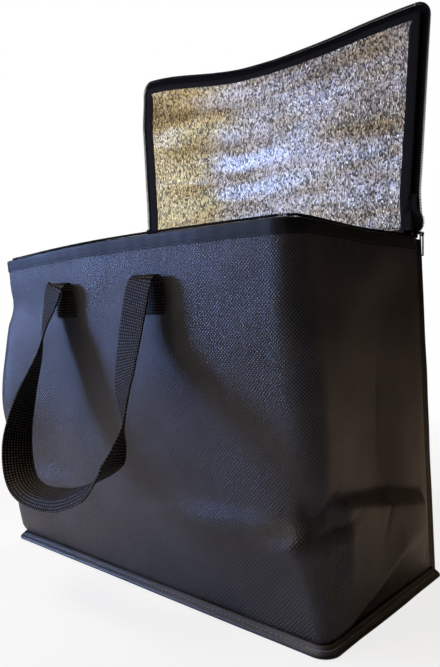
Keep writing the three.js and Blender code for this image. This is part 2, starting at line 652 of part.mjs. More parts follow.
// The slider is parked at the back end of the right-hand side, against its stop.
const SLIDER_Y = ZIP_TAIL_Y - SLIDER_LENGTH / 2;

function sliderAssembly() {
  const rim = planAt(BAG_HEIGHT, COIL_CENTRE);
  const slider = new THREE.Group();
  slider.add(
    piece('zip_slider', sliderBody(), MATERIALS.zip),
    piece('zip_pull', zipPull(), MATERIALS.metal),
  );
  slider.position.set(halfWidthAt(rim, SLIDER_Y), SLIDER_Y, BAG_HEIGHT);
  slider.rotation.z = Math.atan2(rim.frontHalf - rim.backHalf, BACK_Y - rim.front);
  return slider;
}

// Handles, drawn about the axis of their folds with the wall behind them. Each sewn end lies flat on its
// wall and ends at the top in a rolled fold; the loop of strap hangs from the two folds, turns edge-on
// down each leg and sways to one side.
const FOLD_Z = BAG_HEIGHT - HANDLE_FOLD_DEPTH;
const HANDLE_HALF = HANDLE_SPACING / 2;
const FOLD_OFFSET = CLEAR + FOLD_RADIUS;

function sewnEnd(x, wallY) {
  const rising = [-SEWN_LENGTH, -SEWN_LENGTH / 2, 0];
  const falling = rising.toReversed();
  const edges = [x - STRAP_WIDTH / 2, x, x + STRAP_WIDTH / 2];
  const rings = edges.map((px) => [
    ...rising.map((z) => new THREE.Vector3(px, wallY(px, z) - CLEAR, z)),
    ...falling.map((z) => new THREE.Vector3(px, wallY(px, z) - CLEAR - STRAP, z)),
  ]);
  const contour = [...rising.map((z) => [0, z]), ...falling.map((z) => [STRAP, z])];
  const roll = new THREE.Shape().absarc(0, 0, FOLD_RADIUS, 0, 2 * Math.PI);
  return join(loft(rings, contour), extrudeAlongX(roll, edges[0], edges[2]));
}

// The strap's turn about its length and its lean at the bottom of the loop, at a share t of the loop.
function strapTurn(t) {
  const degrees = 11 * smoothstep(t, 0, 0.06) + 169 * t + 11.4 * smoothstep(t, 0.1, 0.4);
  return THREE.MathUtils.degToRad(Math.min(degrees, 90)) * (1 - smoothstep(t, 0.54, 0.92));
}

function strapLean(t) {
  return THREE.MathUtils.degToRad(24) * smoothstep(t, 0.34, 0.5) * (1 - smoothstep(t, 0.6, 0.74));
}

function strapLoop() {
  const top = -FOLD_RADIUS - CLEAR;
  const hanging = LOOP_SHARES.map(([across, out, down]) =>
    new THREE.Vector3(across * HANDLE_HALF, -out * HANDLE_STANDOFF, -down * HANDLE_DROP),
  );
  const start = new THREE.Vector3(-HANDLE_HALF, 0, top);
  const end = new THREE.Vector3(HANDLE_HALF, 0, top);
  const curve = new THREE.CatmullRomCurve3([start, ...hanging, end], false, 'centripetal');
  const rings = Array.from({ length: STRAP_STEPS + 1 }, (_, i) => {
    const t = i / STRAP_STEPS;
    const turn = strapTurn(t);
    const lean = strapLean(t);
    const along = i % STRAP_STEPS ? curve.getTangentAt(t) : new THREE.Vector3(0, 0, i ? 1 : -1);
    const out = -Math.sin(turn);
    const across = new THREE.Vector3(Math.cos(turn), out * Math.cos(lean), out * Math.sin(lean));
    across.addScaledVector(along, -across.dot(along)).normalize();
    const face = new THREE.Vector3().crossVectors(along, across);
    return rectangle(-STRAP_WIDTH / 2, -STRAP / 2, STRAP_WIDTH / 2, STRAP / 2).map(([u, v]) =>
      curve.getPointAt(t).addScaledVector(across, u).addScaledVector(face, v),
    );
  });
  return loft(rings, rectangle(0, 0, STRAP_WIDTH, STRAP));
}

function handleAssembly(name, wallY) {
  const handle = new THREE.Group();
  handle.add(
    piece(`${name}_handle_end_left`, sewnEnd(-HANDLE_HALF, wallY), MATERIALS.webbing),
    piece(`${name}_handle_end_right`, sewnEnd(HANDLE_HALF, wallY), MATERIALS.webbing),
    piece(`${name}_handle_strap`, strapLoop(), MATERIALS.webbing),
  );
  return handle;
}

function frontHandle() {
  const innerEdges = [-1, 1].map((side) => HANDLE_SHIFT + side * (HANDLE_HALF - STRAP_WIDTH / 2));
  const axisY = Math.min(...innerEdges.map((x) => frontFace(x, FOLD_Z))) - FOLD_OFFSET;
  const handle = handleAssembly('front', (x, z) => frontFace(x + HANDLE_SHIFT, z + FOLD_Z) - axisY);
  handle.position.set(HANDLE_SHIFT, axisY, FOLD_Z);
  return handle;
}

function backHandle() {
  const handle = handleAssembly('back', () => FOLD_OFFSET);
  handle.position.set(-HANDLE_SHIFT, BACK_Y + FOLD_OFFSET, FOLD_Z);
  handle.rotation.z = Math.PI;
  return handle;
}

const coolerBag = new THREE.Group();
coolerBag.name = 'cooler_bag';
coolerBag.add(
  ...baseAssembly(),
  ...wallAssembly(),
  ...rimZip(),
  hingeTape(),
  lidAssembly(),
  sliderAssembly(),
  frontHandle(),
  backHandle(),
);

export default coolerBag;
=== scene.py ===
"""A soft cooler bag, dressed for pictures: non-woven shell, foil lining, zipped lid and webbing handles.

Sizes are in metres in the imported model's frame: +Z up, the front wall towards -Y, and the origin under
the middle of the base. Cloth pieces start as flat grids that are laid on the bag's form.
"""

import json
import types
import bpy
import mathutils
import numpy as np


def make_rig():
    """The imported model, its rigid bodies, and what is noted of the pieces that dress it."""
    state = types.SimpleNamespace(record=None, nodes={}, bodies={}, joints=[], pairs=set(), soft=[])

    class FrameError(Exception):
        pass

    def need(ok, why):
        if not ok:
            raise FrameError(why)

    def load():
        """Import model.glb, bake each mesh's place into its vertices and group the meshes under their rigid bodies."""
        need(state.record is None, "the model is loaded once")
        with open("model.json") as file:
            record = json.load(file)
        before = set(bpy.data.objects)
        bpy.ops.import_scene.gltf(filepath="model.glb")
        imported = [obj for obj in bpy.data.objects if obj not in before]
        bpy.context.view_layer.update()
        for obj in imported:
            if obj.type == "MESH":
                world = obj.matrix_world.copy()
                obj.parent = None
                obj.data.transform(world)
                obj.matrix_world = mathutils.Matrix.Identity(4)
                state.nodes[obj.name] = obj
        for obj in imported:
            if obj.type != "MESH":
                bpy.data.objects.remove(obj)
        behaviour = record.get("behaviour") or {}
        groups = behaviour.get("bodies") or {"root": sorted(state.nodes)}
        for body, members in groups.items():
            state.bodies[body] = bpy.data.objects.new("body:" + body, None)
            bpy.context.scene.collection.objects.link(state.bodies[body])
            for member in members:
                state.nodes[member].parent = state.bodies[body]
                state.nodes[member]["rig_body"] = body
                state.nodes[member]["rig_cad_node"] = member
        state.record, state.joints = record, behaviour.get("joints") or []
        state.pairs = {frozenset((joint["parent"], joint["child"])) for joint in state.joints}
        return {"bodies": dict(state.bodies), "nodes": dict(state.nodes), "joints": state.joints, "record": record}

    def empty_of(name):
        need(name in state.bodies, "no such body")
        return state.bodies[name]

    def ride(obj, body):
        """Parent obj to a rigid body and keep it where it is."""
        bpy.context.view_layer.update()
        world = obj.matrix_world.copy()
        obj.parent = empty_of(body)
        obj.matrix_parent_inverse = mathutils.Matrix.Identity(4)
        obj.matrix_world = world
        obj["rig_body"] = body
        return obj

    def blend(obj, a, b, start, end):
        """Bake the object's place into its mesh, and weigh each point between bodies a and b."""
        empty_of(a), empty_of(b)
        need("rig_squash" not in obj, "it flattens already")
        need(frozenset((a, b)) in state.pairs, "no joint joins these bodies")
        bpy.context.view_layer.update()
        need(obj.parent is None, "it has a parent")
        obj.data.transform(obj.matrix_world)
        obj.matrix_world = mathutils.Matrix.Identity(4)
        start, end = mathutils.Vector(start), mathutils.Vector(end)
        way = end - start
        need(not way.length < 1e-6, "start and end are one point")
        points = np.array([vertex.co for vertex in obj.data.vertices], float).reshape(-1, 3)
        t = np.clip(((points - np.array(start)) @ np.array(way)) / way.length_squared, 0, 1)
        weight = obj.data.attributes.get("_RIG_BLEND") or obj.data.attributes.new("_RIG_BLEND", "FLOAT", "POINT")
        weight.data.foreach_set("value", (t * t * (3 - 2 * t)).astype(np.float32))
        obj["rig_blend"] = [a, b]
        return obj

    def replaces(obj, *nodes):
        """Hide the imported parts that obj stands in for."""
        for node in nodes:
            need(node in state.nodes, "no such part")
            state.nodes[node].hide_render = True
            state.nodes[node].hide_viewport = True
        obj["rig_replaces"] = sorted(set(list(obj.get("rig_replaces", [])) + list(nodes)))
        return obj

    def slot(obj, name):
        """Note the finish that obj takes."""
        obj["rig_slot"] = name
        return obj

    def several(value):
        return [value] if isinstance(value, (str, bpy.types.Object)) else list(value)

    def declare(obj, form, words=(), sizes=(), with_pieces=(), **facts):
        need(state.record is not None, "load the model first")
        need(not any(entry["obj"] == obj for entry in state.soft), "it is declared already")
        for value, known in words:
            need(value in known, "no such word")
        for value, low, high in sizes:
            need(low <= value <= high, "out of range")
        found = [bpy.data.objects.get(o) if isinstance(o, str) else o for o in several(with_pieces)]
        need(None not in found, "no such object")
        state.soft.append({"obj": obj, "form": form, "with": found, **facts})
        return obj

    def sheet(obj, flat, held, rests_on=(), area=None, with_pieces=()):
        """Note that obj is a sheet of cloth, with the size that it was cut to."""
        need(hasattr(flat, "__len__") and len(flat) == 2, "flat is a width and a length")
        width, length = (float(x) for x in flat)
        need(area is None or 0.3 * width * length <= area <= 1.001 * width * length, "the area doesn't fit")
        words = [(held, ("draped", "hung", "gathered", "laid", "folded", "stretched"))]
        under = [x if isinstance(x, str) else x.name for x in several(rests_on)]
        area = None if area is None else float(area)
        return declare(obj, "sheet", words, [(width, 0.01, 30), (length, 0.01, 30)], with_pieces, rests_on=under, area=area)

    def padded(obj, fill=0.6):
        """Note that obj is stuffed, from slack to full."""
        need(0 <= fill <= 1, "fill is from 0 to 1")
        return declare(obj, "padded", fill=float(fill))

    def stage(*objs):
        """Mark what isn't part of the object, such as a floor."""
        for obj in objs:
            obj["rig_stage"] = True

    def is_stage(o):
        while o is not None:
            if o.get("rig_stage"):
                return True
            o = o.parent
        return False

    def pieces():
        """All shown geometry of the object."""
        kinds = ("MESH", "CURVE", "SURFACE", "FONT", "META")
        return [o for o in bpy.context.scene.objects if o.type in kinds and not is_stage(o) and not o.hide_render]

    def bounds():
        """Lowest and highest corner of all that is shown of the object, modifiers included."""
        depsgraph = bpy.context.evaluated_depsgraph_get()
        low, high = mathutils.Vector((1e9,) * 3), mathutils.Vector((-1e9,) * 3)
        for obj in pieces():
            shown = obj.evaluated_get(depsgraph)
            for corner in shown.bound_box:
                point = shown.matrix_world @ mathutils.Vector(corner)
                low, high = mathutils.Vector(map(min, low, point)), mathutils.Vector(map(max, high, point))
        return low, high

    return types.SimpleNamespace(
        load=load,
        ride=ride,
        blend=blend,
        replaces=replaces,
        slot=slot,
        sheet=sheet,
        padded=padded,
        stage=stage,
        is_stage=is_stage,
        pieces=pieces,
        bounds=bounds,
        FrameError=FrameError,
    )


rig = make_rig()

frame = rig.load()

import json
import logging
import math
from collections.abc import Callable
from dataclasses import dataclass, field
from enum import Enum
from functools import lru_cache, partial

import bmesh
import bpy
from mathutils import Matrix, Vector, noise

LOG = logging.getLogger("cooler_bag")
CAD_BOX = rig.bounds()
SIZE_FILE = "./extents.json"
MM = 0.001
PER_MM = (1000, 1000, 1000)
PHOTO_HEIGHT = 667
PAD_FILL = 0.5
SHELL_THICKNESS = 0.8 * MM
TOOTH = (0.95 * MM, 2.35 * MM, 2.1 * MM)
TOOTH_PITCH = 1.5 * MM
TOOTH_ROUNDING = 0.3 * MM
STITCH_PITCH = 3.8 * MM
STITCH_ROUNDING = 0.17 * MM

BMesh = bmesh.types.BMesh
Piece = bpy.types.Object
Socket = bpy.types.NodeSocket
Place = Callable[[float, float], Vector]
Spot = Callable[[float, float, float], Vector]
Rough = Callable[[float, float], float]
AddNode = Callable[..., bpy.types.Node]


class Finish(Enum):
    """The record's material slots that the new pieces take."""

    FABRIC = "fabric"
    BINDING = "binding"
    FOAM = "foam"
    FOIL = "foil"
    ZIP = "zip"
    WEBBING = "webbing"


class Side(Enum):
    """The two walls that carry a handle, with the half turn that puts a handle on each."""

    FRONT = 0.0
    BACK = math.pi


class Hand(Enum):
    """The bag's left and right, as one sees its front, with the sign of x on each."""

    LEFT = -1.0
    RIGHT = 1.0


def lerp(start: float, end: float, share: float) -> float:
    """The value that lies at a share of the way from start to end."""
    return start + (end - start) * share


def smooth(value: float, low: float, high: float) -> float:
    """A soft step from 0 at low to 1 at high."""
    share = min(max((value - low) / (high - low), 0.0), 1.0)
    return share * share * (3.0 - 2.0 * share)


def hump(value: float, middle: float, width: float) -> float:
    """A round swelling of height 1 about a middle."""
    return math.exp(-(((value - middle) / width) ** 2))


def crease(distance: float, width: float) -> float:
    """A fold line of height 1 that falls away on both sides from an almost sharp top."""
    blunt = 0.35
    return math.exp(blunt - blunt * math.hypot(1.0, distance / (blunt * width)))


def swell(share: float) -> float:
    """A swelling that leaves both ends level, over a share from 0 to 1."""
    return math.sin(math.pi * min(max(share, 0.0), 1.0)) ** 2


def ripple(along: float, up: float, size: float, seed: float) -> float:
    """Soft irregular waves of about one size over a sheet, from -1 to 1.

    Args:
        along: distance along the sheet in metres.
        up: distance up the sheet in metres.
        size: length of a wave in metres.
        seed: which of many patterns to take.
    Returns:
        The height of the waves there.
    """
    return noise.noise(Vector((along / size + 7.3 * seed, up / size - 3.1 * seed, 1.7 * seed)))


def linear(code: str) -> tuple[float, float, float, float]:
    """An sRGB hex colour as linear red, green, blue and alpha.

    Args:
        code: six hex digits after a hash.
    Returns:
        The colour as the shaders take it.
    """
    shares = [int(code[i:i + 2], 16) / 255 for i in (1, 3, 5)]
    red, green, blue = (c / 12.92 if c <= 0.04045 else ((c + 0.055) / 1.055) ** 2.4 for c in shares)
    return red, green, blue, 1.0


@dataclass(frozen=True)
class Line:
    """One short wrinkle on a sheet, from one place to another in metres, with its height and width."""

    start: tuple[float, float]
    end: tuple[float, float]
    height: float
    width: float

    def at(self, along: float, up: float) -> float:
        """The wrinkle's height at a place on the sheet, fading at both its ends.

        Args:
            along: distance along the sheet in metres.
            up: distance up the sheet in metres.
        Returns:
            The height in metres.
        """
        a = Vector(self.start)
        run = Vector(self.end) - a
        here = Vector((along, up)) - a
        share = here.dot(run) / run.length_squared
        if not 0.0 < share < 1.0:
            return 0.0
        away = (here - run * share).length
        return self.height * math.sin(math.pi * share) * crease(away, self.width)


@dataclass(frozen=True)
class WallLine:
    """The bag's plan at one height and inset: the front line, one front corner and one side line."""

    front: float
    reach: float
    centre: Vector
    radius: float
    side: Vector
    side_normal: Vector
    side_end: Vector
    turn: float


@dataclass(frozen=True)
class BagForm:
    """The form of the bag's walls: the sewn pattern, and how the soft cloth stands and sags on it.

    A station runs round the wrap: 0 to 1 is the left side from the back, 1 to 2 the left front corner,
    2 to 3 the front, 3 to 4 the right front corner and 4 to 5 the right side to the back.
    """

    base_width: float = 410 * MM
    back: float = 95 * MM
    height: float = 330 * MM
    mouth_front: float = 406 * MM
    mouth_back: float = 384 * MM
    flare: float = 32 * MM
    base_radius: float = 6 * MM
    mouth_radius: float = 20 * MM
    corner_swell: float = 16 * MM
    belly: float = 5 * MM
    tuck: float = 7 * MM
    wrap_end: float = 89.9 * MM
    side_run: float = 200 * MM
    corner_run: float = 45 * MM
    front_run: float = 350 * MM
    back_turn: float = 14 * MM
    crumple: tuple[Line, ...] = (
        Line((0.150, 0.072), (0.214, 0.100), 2.0 * MM, 4.5 * MM),
        Line((0.180, 0.086), (0.270, 0.100), -1.7 * MM, 2.6 * MM),
        Line((0.192, 0.094), (0.240, 0.128), -1.4 * MM, 2.4 * MM),
        Line((0.200, 0.104), (0.256, 0.112), 0.8 * MM, 3.0 * MM),
        Line((0.186, 0.070), (0.262, 0.088), 0.9 * MM, 4.0 * MM),
        Line((-0.262, 0.118), (-0.168, 0.064), 2.0 * MM, 4.5 * MM),
        Line((-0.246, 0.232), (-0.170, 0.262), 1.3 * MM, 7.0 * MM),
        Line((0.336, 0.110), (0.338, 0.250), -1.5 * MM, 3.0 * MM),
        Line((0.300, 0.060), (0.352, 0.108), -1.2 * MM, 3.0 * MM),
    )

    @lru_cache(maxsize=4096)
    def line(self, z: float, inset: float) -> WallLine:
        """The plan's lines at a height and an inset.

        Args:
            z: height in metres.
            inset: distance in from the outer face in metres.
        Returns:
            The lines of the right-hand half.
        """
        rise = min(max(z / self.height, 0.0), 1.0)
        front = -self.back - self.flare * rise + inset
        front_half = lerp(self.base_width, self.mouth_front, rise) / 2 - inset
        back_half = lerp(self.base_width, self.mouth_back, rise) / 2 - inset
        soft = lerp(self.base_radius, self.mouth_radius, rise) + self.corner_swell * math.sin(math.pi * rise)
        radius = max(soft - inset, 1.0 * MM)
        corner = Vector((front_half, front))
        share = (self.back - self.wrap_end) / (self.back - front)
        end = Vector((lerp(back_half, front_half, share), self.wrap_end))
        side = (end - corner).normalized()
        normal = Vector((side.y, -side.x))
        centre = Vector((corner.x - radius * (1.0 + normal.y) / normal.x, front + radius))
        return WallLine(front, centre.x, centre, radius, side, normal, end, math.acos(-normal.y))

    def plan(self, station: float, z: float, inset: float) -> tuple[Vector, Vector]:
        """Where a station of the sewn pattern lies in plan, and which way is outwards there.

        Args:
            station: place round the wrap.
            z: height in metres.
            inset: distance in from the outer face in metres.
        Returns:
            The point and the outward direction, both in plan.
        """
        if station < 2.5:
            point, normal = self.plan(5.0 - station, z, inset)
            return Vector((-point.x, point.y)), Vector((-normal.x, normal.y))
        line = self.line(round(z, 6), round(inset, 6))
        rise = min(max(z / self.height, 0.0), 1.0)
        if station <= 3.0:
            share = station - 2.0
            x = lerp(-line.reach, line.reach, share)
            return Vector((x, line.front - self.belly * swell(rise) * swell(share))), Vector((0.0, -1.0))
        if station <= 4.0:
            angle = (station - 3.0) * line.turn
            normal = Vector((math.sin(angle), -math.cos(angle)))
            return line.centre + line.radius * normal, normal
        share = station - 4.0
        start = line.centre + line.radius * line.side_normal
        point = start.lerp(line.side_end, share)
        point.x -= self.tuck * swell(rise) * swell(share)
        return point, line.side_normal

    def along(self, station: float) -> float:
        """Distance round the wrap from the middle of the front, positive to the right.

        Args:
            station: place round the wrap.
        Returns:
            The distance in metres.
        """
        if station < 2.5:
            return -self.along(5.0 - station)
        front = (min(station, 3.0) - 2.5) * self.front_run
        corner = max(min(station, 4.0) - 3.0, 0.0) * self.corner_run
        return front + corner + max(station - 4.0, 0.0) * self.side_run

    def station(self, share: float) -> float:
        """The station at a share of the wrap's length, so that a grid's columns are evenly spaced.

        Args:
            share: share of the wrap's length, from the left back seam.
        Returns:
            The station.
        """
        runs = (self.side_run, self.corner_run, self.front_run, self.corner_run, self.side_run)
        left = share * sum(runs)
        index = 0
        while index < len(runs) - 1 and left > runs[index]:
            left -= runs[index]
            index += 1
        return index + left / runs[index]

    def back_half(self, z: float) -> float:
        """Half of the back panel's width at a height."""
        return lerp(self.base_width, self.mouth_back, z / self.height) / 2

    @property
    def wrap_run(self) -> float:
        """Length of the wrap in metres."""
        return 2 * (self.side_run + self.corner_run) + self.front_run

    def relief(self, station: float, z: float) -> float:
        """How far the soft wall stands out from its sewn pattern, in metres.

        Args:
            station: place round the wrap.
            z: height in metres.
        Returns:
            The distance outwards.
        """
        a = self.along(station)
        far = abs(a)
        q = (far - 0.220) / self.side_run
        free = smooth(z, 0.004, 0.035) * (1 - smooth(z, 0.285, 0.318)) * (1 - smooth(far, 0.380, 0.412))
        out = free * (2.6 * MM * ripple(a, z, 0.105, 1.0) + 0.9 * MM * ripple(a, z, 0.036, 2.0))
        # The left front corner bulges at half height and above the base, and falls in under the hem.
        left = hump(a, -0.198, 0.060) * smooth(z, 0.004, 0.018)
        out += left * (22 * MM * hump(z, 0.160, 0.075) + 9 * MM * hump(z, 0.045, 0.040))
        out -= left * (8 * MM * hump(z, 0.283, 0.030) + 7 * MM * smooth(z, 0.290, 0.330))
        # The right front corner is dented. Above a level crease the front is set back, most of all on the
        # right, where the cloth under the crease swells out beside the corner.
        out -= 6 * MM * hump(a, 0.206, 0.030) * hump(z, 0.108, 0.020)
        facet = 8 * MM * smooth(a, -0.030, 0.165) + 3.5 * MM * smooth(-a, 0.040, 0.150)
        facet *= 1 - smooth(far, 0.175, 0.219)
        out -= facet * smooth(z, 0.079, 0.103) * (1 - smooth(z, 0.135, 0.270))
        out += 9 * MM * smooth(a, 0.122, 0.174) * (1 - smooth(a, 0.176, 0.200)) * hump(z, 0.084, 0.026)
        out += self.gusset(q, z) * (1.0 if a > 0 else 0.8)
        out += free * sum(line.at(a, z) for line in self.crumple)
        out += self.puckers(a, z)
        return out

    def gusset(self, q: float, z: float) -> float:
        """The folds of a side wall: an upright crease, a level one and a ridge up from the front corner.

        Args:
            q: share of the way from the front corner to the back seam.
            z: height in metres.
        Returns:
            The distance outwards in metres.
        """
        if q <= 0.0:
            return 0.0
        mask = smooth(q, 0.0, 0.12) * (1 - smooth(q, 0.90, 1.0))
        fold = 0.116 - 0.034 * q
        upright = smooth(z, fold - 0.012, fold + 0.010) * (1 - smooth(z, 0.262, 0.312))
        out = -4.6 * MM * crease(q - 0.58, 0.14) * upright
        out += 8.0 * MM * smooth(z, 0.004, 0.060) * (1 - smooth(z, fold - 0.009, fold + 0.008))
        away = z - (0.008 + 0.070 * min(q, 0.62) + 0.012 * max(q - 0.62, 0.0))
        ridge = 5.0 * MM * crease(away, 11 * MM) - 3.4 * MM * smooth(-away, 0.0, 0.022)
        out += ridge * smooth(z, 0.0, 0.016) * (1 - smooth(q, 0.60, 0.92))
        return out * mask

    def puckers(self, a: float, z: float) -> float:
        """Small gathers that the seams pull into the cloth under the hem and above the base.

        Args:
            a: distance round the wrap from the middle of the front.
            z: height in metres.
        Returns:
            The distance outwards in metres.
        """
        wave = math.sin(2 * math.pi * a / 0.017 + 2.6 * ripple(a, 0.0, 0.05, 3.0))
        under = math.exp(-max(0.318 - z, 0.0) / 0.012) + 0.8 * math.exp(-max(z - 0.008, 0.0) / 0.012)
        return 0.12 * MM * wave * under

    def droop(self, station: float, z: float) -> float:
        """How far the wall's upper part sinks, in metres, where nothing holds it up.

        Args:
            station: place round the wrap.
            z: height in metres.
        Returns:
            The change of height.
        """
        a = self.along(station)
        corner = 9.5 * MM * hump(a, -0.205, 0.075 if a < -0.205 else 0.140) * smooth(z, 0.200, 0.330)
        side = 1.6 * MM * hump(a, 0.315, 0.055) * smooth(z, 0.250, 0.330)
        return -(corner + side)

    def place(self, station: float, z: float, inset: float) -> Vector:
        """A point of the finished wall.

        Args:
            station: place round the wrap.
            z: height in metres before the wall sinks.
            inset: distance in from the outer face in metres.
        Returns:
            The point in the bag's frame.
        """
        low = min(z, self.height)
        point, normal = self.plan(station, low, inset)
        point = point + normal * self.relief(station, low)
        return Vector((point.x, point.y, z + self.droop(station, low)))

    def outline(self, share: float, z: float, outset: float) -> Vector:
        """A point of the closed line round the base, outside the walls by an outset.

        Args:
            share: share of the way round, from the left back corner over the front.
            z: height in metres.
            outset: distance out from the walls in metres.
        Returns:
            The point in the bag's frame.
        """
        turn_run = self.back_turn
        back_run = self.base_width
        total = self.wrap_run + back_run + 2 * turn_run
        left = share * total
        if left <= self.wrap_run:
            point, _ = self.plan(self.station(left / self.wrap_run), z, -outset)
            return Vector((point.x, point.y, z))
        left -= self.wrap_run
        right_end, right_out = self.plan(5.0, z, -outset)
        corner = right_end - right_out * outset + Vector((0.0, self.back - self.wrap_end))
        if left <= turn_run:
            angle = (left / turn_run) * math.pi / 2
            point = corner + outset * Vector((math.cos(angle), math.sin(angle)))
            return Vector((point.x, point.y, z))
        left -= turn_run
        if left <= back_run:
            x = lerp(corner.x, -corner.x, left / back_run)
            return Vector((x, corner.y + outset, z))
        angle = min((left - back_run) / turn_run, 1.0) * math.pi / 2
        return Vector((-corner.x - outset * math.sin(angle), corner.y + outset * math.cos(angle), z))


@dataclass(frozen=True)
class LidForm:
    """The form of the lid as it stands open: its flat pattern, and how the soft panel sags and curls."""

    bag: BagForm
    hinge_y: float = 92.6 * MM
    hinge_z: float = 335.8 * MM
    opened: float = math.radians(92)
    length: float = 214.4 * MM
    half_width: float = 190 * MM
    rear: float = 89.8 * MM

    def sag(self, x: float, b: float) -> tuple[float, float]:
        """How the soft panel leaves its flat pattern.

        Args:
            x: place across the lid in metres.
            b: share of the way from the hinge to the free edge.
        Returns:
            How far the free edge is drawn out, and how far the panel stands off towards its cover.
        """
        a = x / self.half_width
        drawn = 22.5 * MM * smooth(-a, 0.10, 1.0) + 7 * MM * smooth(a, 0.1, 1.0)
        drawn -= 4.5 * MM * hump(a, 0.15, 0.45)
        drawn *= b ** 1.5
        off = 4 * MM * (1 - a * a) * math.sin(math.pi * min(b, 1.0))
        down = b * self.length
        wave = math.sin(2 * math.pi * (down / 0.043 - 0.35 * a + 0.30 * ripple(x, down, 0.12, 4.0)))
        inside = smooth(b, 0.06, 0.25) * (1 - smooth(b, 0.80, 0.97)) * (1 - smooth(abs(a), 0.70, 0.95))
        off += 1.0 * MM * wave * inside * (0.6 + 0.4 * ripple(x, down, 0.09, 5.0))
        off += 0.8 * MM * ripple(x, down, 0.055, 6.0) * smooth(b, 0.05, 0.2)
        # Where the edge reaches past the rim's teeth it stands a little higher, so that it shuts over them.
        over = max(smooth(a, 0.5, 0.85), smooth(abs(a), 0.2, 0.6) * smooth(b, 0.72, 0.92))
        off = off * smooth(b, 0.02, 0.12) + 3.2 * MM * over * smooth(b, -0.02, 0.03)
        return drawn, off

    def place(self, x: float, y: float, z: float) -> Vector:
        """A point of the open lid.

        Args:
            x: place across the bag in metres.
            y: depth in the bag as the lid lies shut.
            z: height over the lid's middle layer as it lies shut, the cover upwards.
        Returns:
            The point in the bag's frame, with the lid at rest.
        """
        down = y - self.hinge_y
        b = min(max(-down / self.length, 0.0), 1.05)
        drawn, off = self.sag(x, b)
        y_shut = down - drawn * smooth(b, 0.02, 0.12)
        z_shut = z + off
        cos, sin = math.cos(-self.opened), math.sin(-self.opened)
        a = x / self.half_width
        wider = lerp(11, 7, smooth(b, 0.0, 0.2)) * MM * smooth(a, 0.30, 0.95)
        wider -= 5 * MM * smooth(-a, 0.30, 0.95) * smooth(b, 0.1, 0.9)
        return Vector((
            x + wider,
            self.hinge_y + y_shut * cos - z_shut * sin,
            self.hinge_z + y_shut * sin + z_shut * cos,
        ))

    def edge(self, station: float, inset: float, z: float) -> Vector:
        """A point along the lid's zipped edge, at an inset and a height over the middle layer."""
        point, _ = self.bag.plan(station, self.bag.height, inset)
        return self.place(point.x, point.y, z)


@dataclass(frozen=True)
class Profile:
    """A folded tape's line across its width, as pairs of millimetres, walked by its length."""

    corners: tuple[tuple[float, float], ...]

    @property
    def run(self) -> float:
        """Length of the line in metres."""
        return sum(math.dist(a, b) for a, b in zip(self.corners, self.corners[1:])) * MM

    def at(self, share: float) -> tuple[float, float]:
        """The point at a share of the line's length, in metres.

        Args:
            share: share of the line's length.
        Returns:
            The point's two measures.
        """
        left = share * self.run / MM
        for a, b in zip(self.corners, self.corners[1:]):
            step = math.dist(a, b)
            if left <= step + 1e-9:
                t = left / step
                return lerp(a[0], b[0], t) * MM, lerp(a[1], b[1], t) * MM
            left -= step
        return self.corners[-1][0] * MM, self.corners[-1][1] * MM


def cut_cloth(columns: int, rows: int, flat: tuple[float, float], place: Place) -> BMesh:
    """Cuts a flat sheet and lays it in place. Its UV map keeps the flat cut in metres.

    Args:
        columns: faces across the cut.
        rows: faces up the cut.
        flat: the cut's width and length in metres.
        place: where a share of the width and of the length goes.
    Returns:
        The sheet's mesh, one layer thick.
    """
    bm = bmesh.new()
    flat_map = bm.loops.layers.uv.new("flat")
    bmesh.ops.create_grid(bm, x_segments=columns, y_segments=rows, size=0.5)
    for face in bm.faces:
        for loop in face.loops:
            spot = loop.vert.co
            loop[flat_map].uv = ((spot.x + 0.5) * flat[0], (spot.y + 0.5) * flat[1])
    for vert in bm.verts:
        vert.co = place(vert.co.x + 0.5, vert.co.y + 0.5)
    return bm


def close_seam(bm: BMesh) -> BMesh:
    """Sews together the edges of a sheet that meet, fills open ends and faces it outwards.

    Args:
        bm: the sheet's mesh.
    Returns:
        The same mesh, closed.
    """
    bmesh.ops.remove_doubles(bm, verts=bm.verts[:], dist=2e-6)
    rims = [edge for edge in bm.edges if edge.is_boundary]
    if rims:
        bmesh.ops.holes_fill(bm, edges=rims, sides=0)
    bmesh.ops.recalc_face_normals(bm, faces=bm.faces[:])
    if bm.calc_volume(signed=True) < 0:
        bmesh.ops.reverse_faces(bm, faces=bm.faces[:])
    return bm


def thicken(bm: BMesh, thickness: float) -> BMesh:
    """Gives a sheet its thickness, inwards from its outer face.

    Args:
        bm: the sheet's mesh.
        thickness: how thick it gets, in metres.
    Returns:
        The same mesh, thick.
    """
    bm.normal_update()
    bmesh.ops.solidify(bm, geom=bm.faces[:], thickness=thickness)
    return bm


def ends_of(spot: Spot, station: float, inset: float, z: float) -> Matrix:
    """The turn and place of a small piece that sits on a swept line.

    Args:
        spot: the line's own place function of station, inset and height.
        station: place along the line.
        inset: distance in from the outer face in metres.
        z: height in metres.
    Returns:
        A matrix whose X axis runs along the line, Y across it and Z out of it.
    """
    tiny = 1e-3
    here = spot(station, inset, z)
    along = (spot(station + tiny, inset, z) - spot(station - tiny, inset, z)).normalized()
    up = (spot(station, inset, z + tiny) - here).normalized()
    across = up.cross(along).normalized()
    up = along.cross(across)
    turn = Matrix((along, across, up)).transposed().to_4x4()
    return Matrix.Translation(here) @ turn


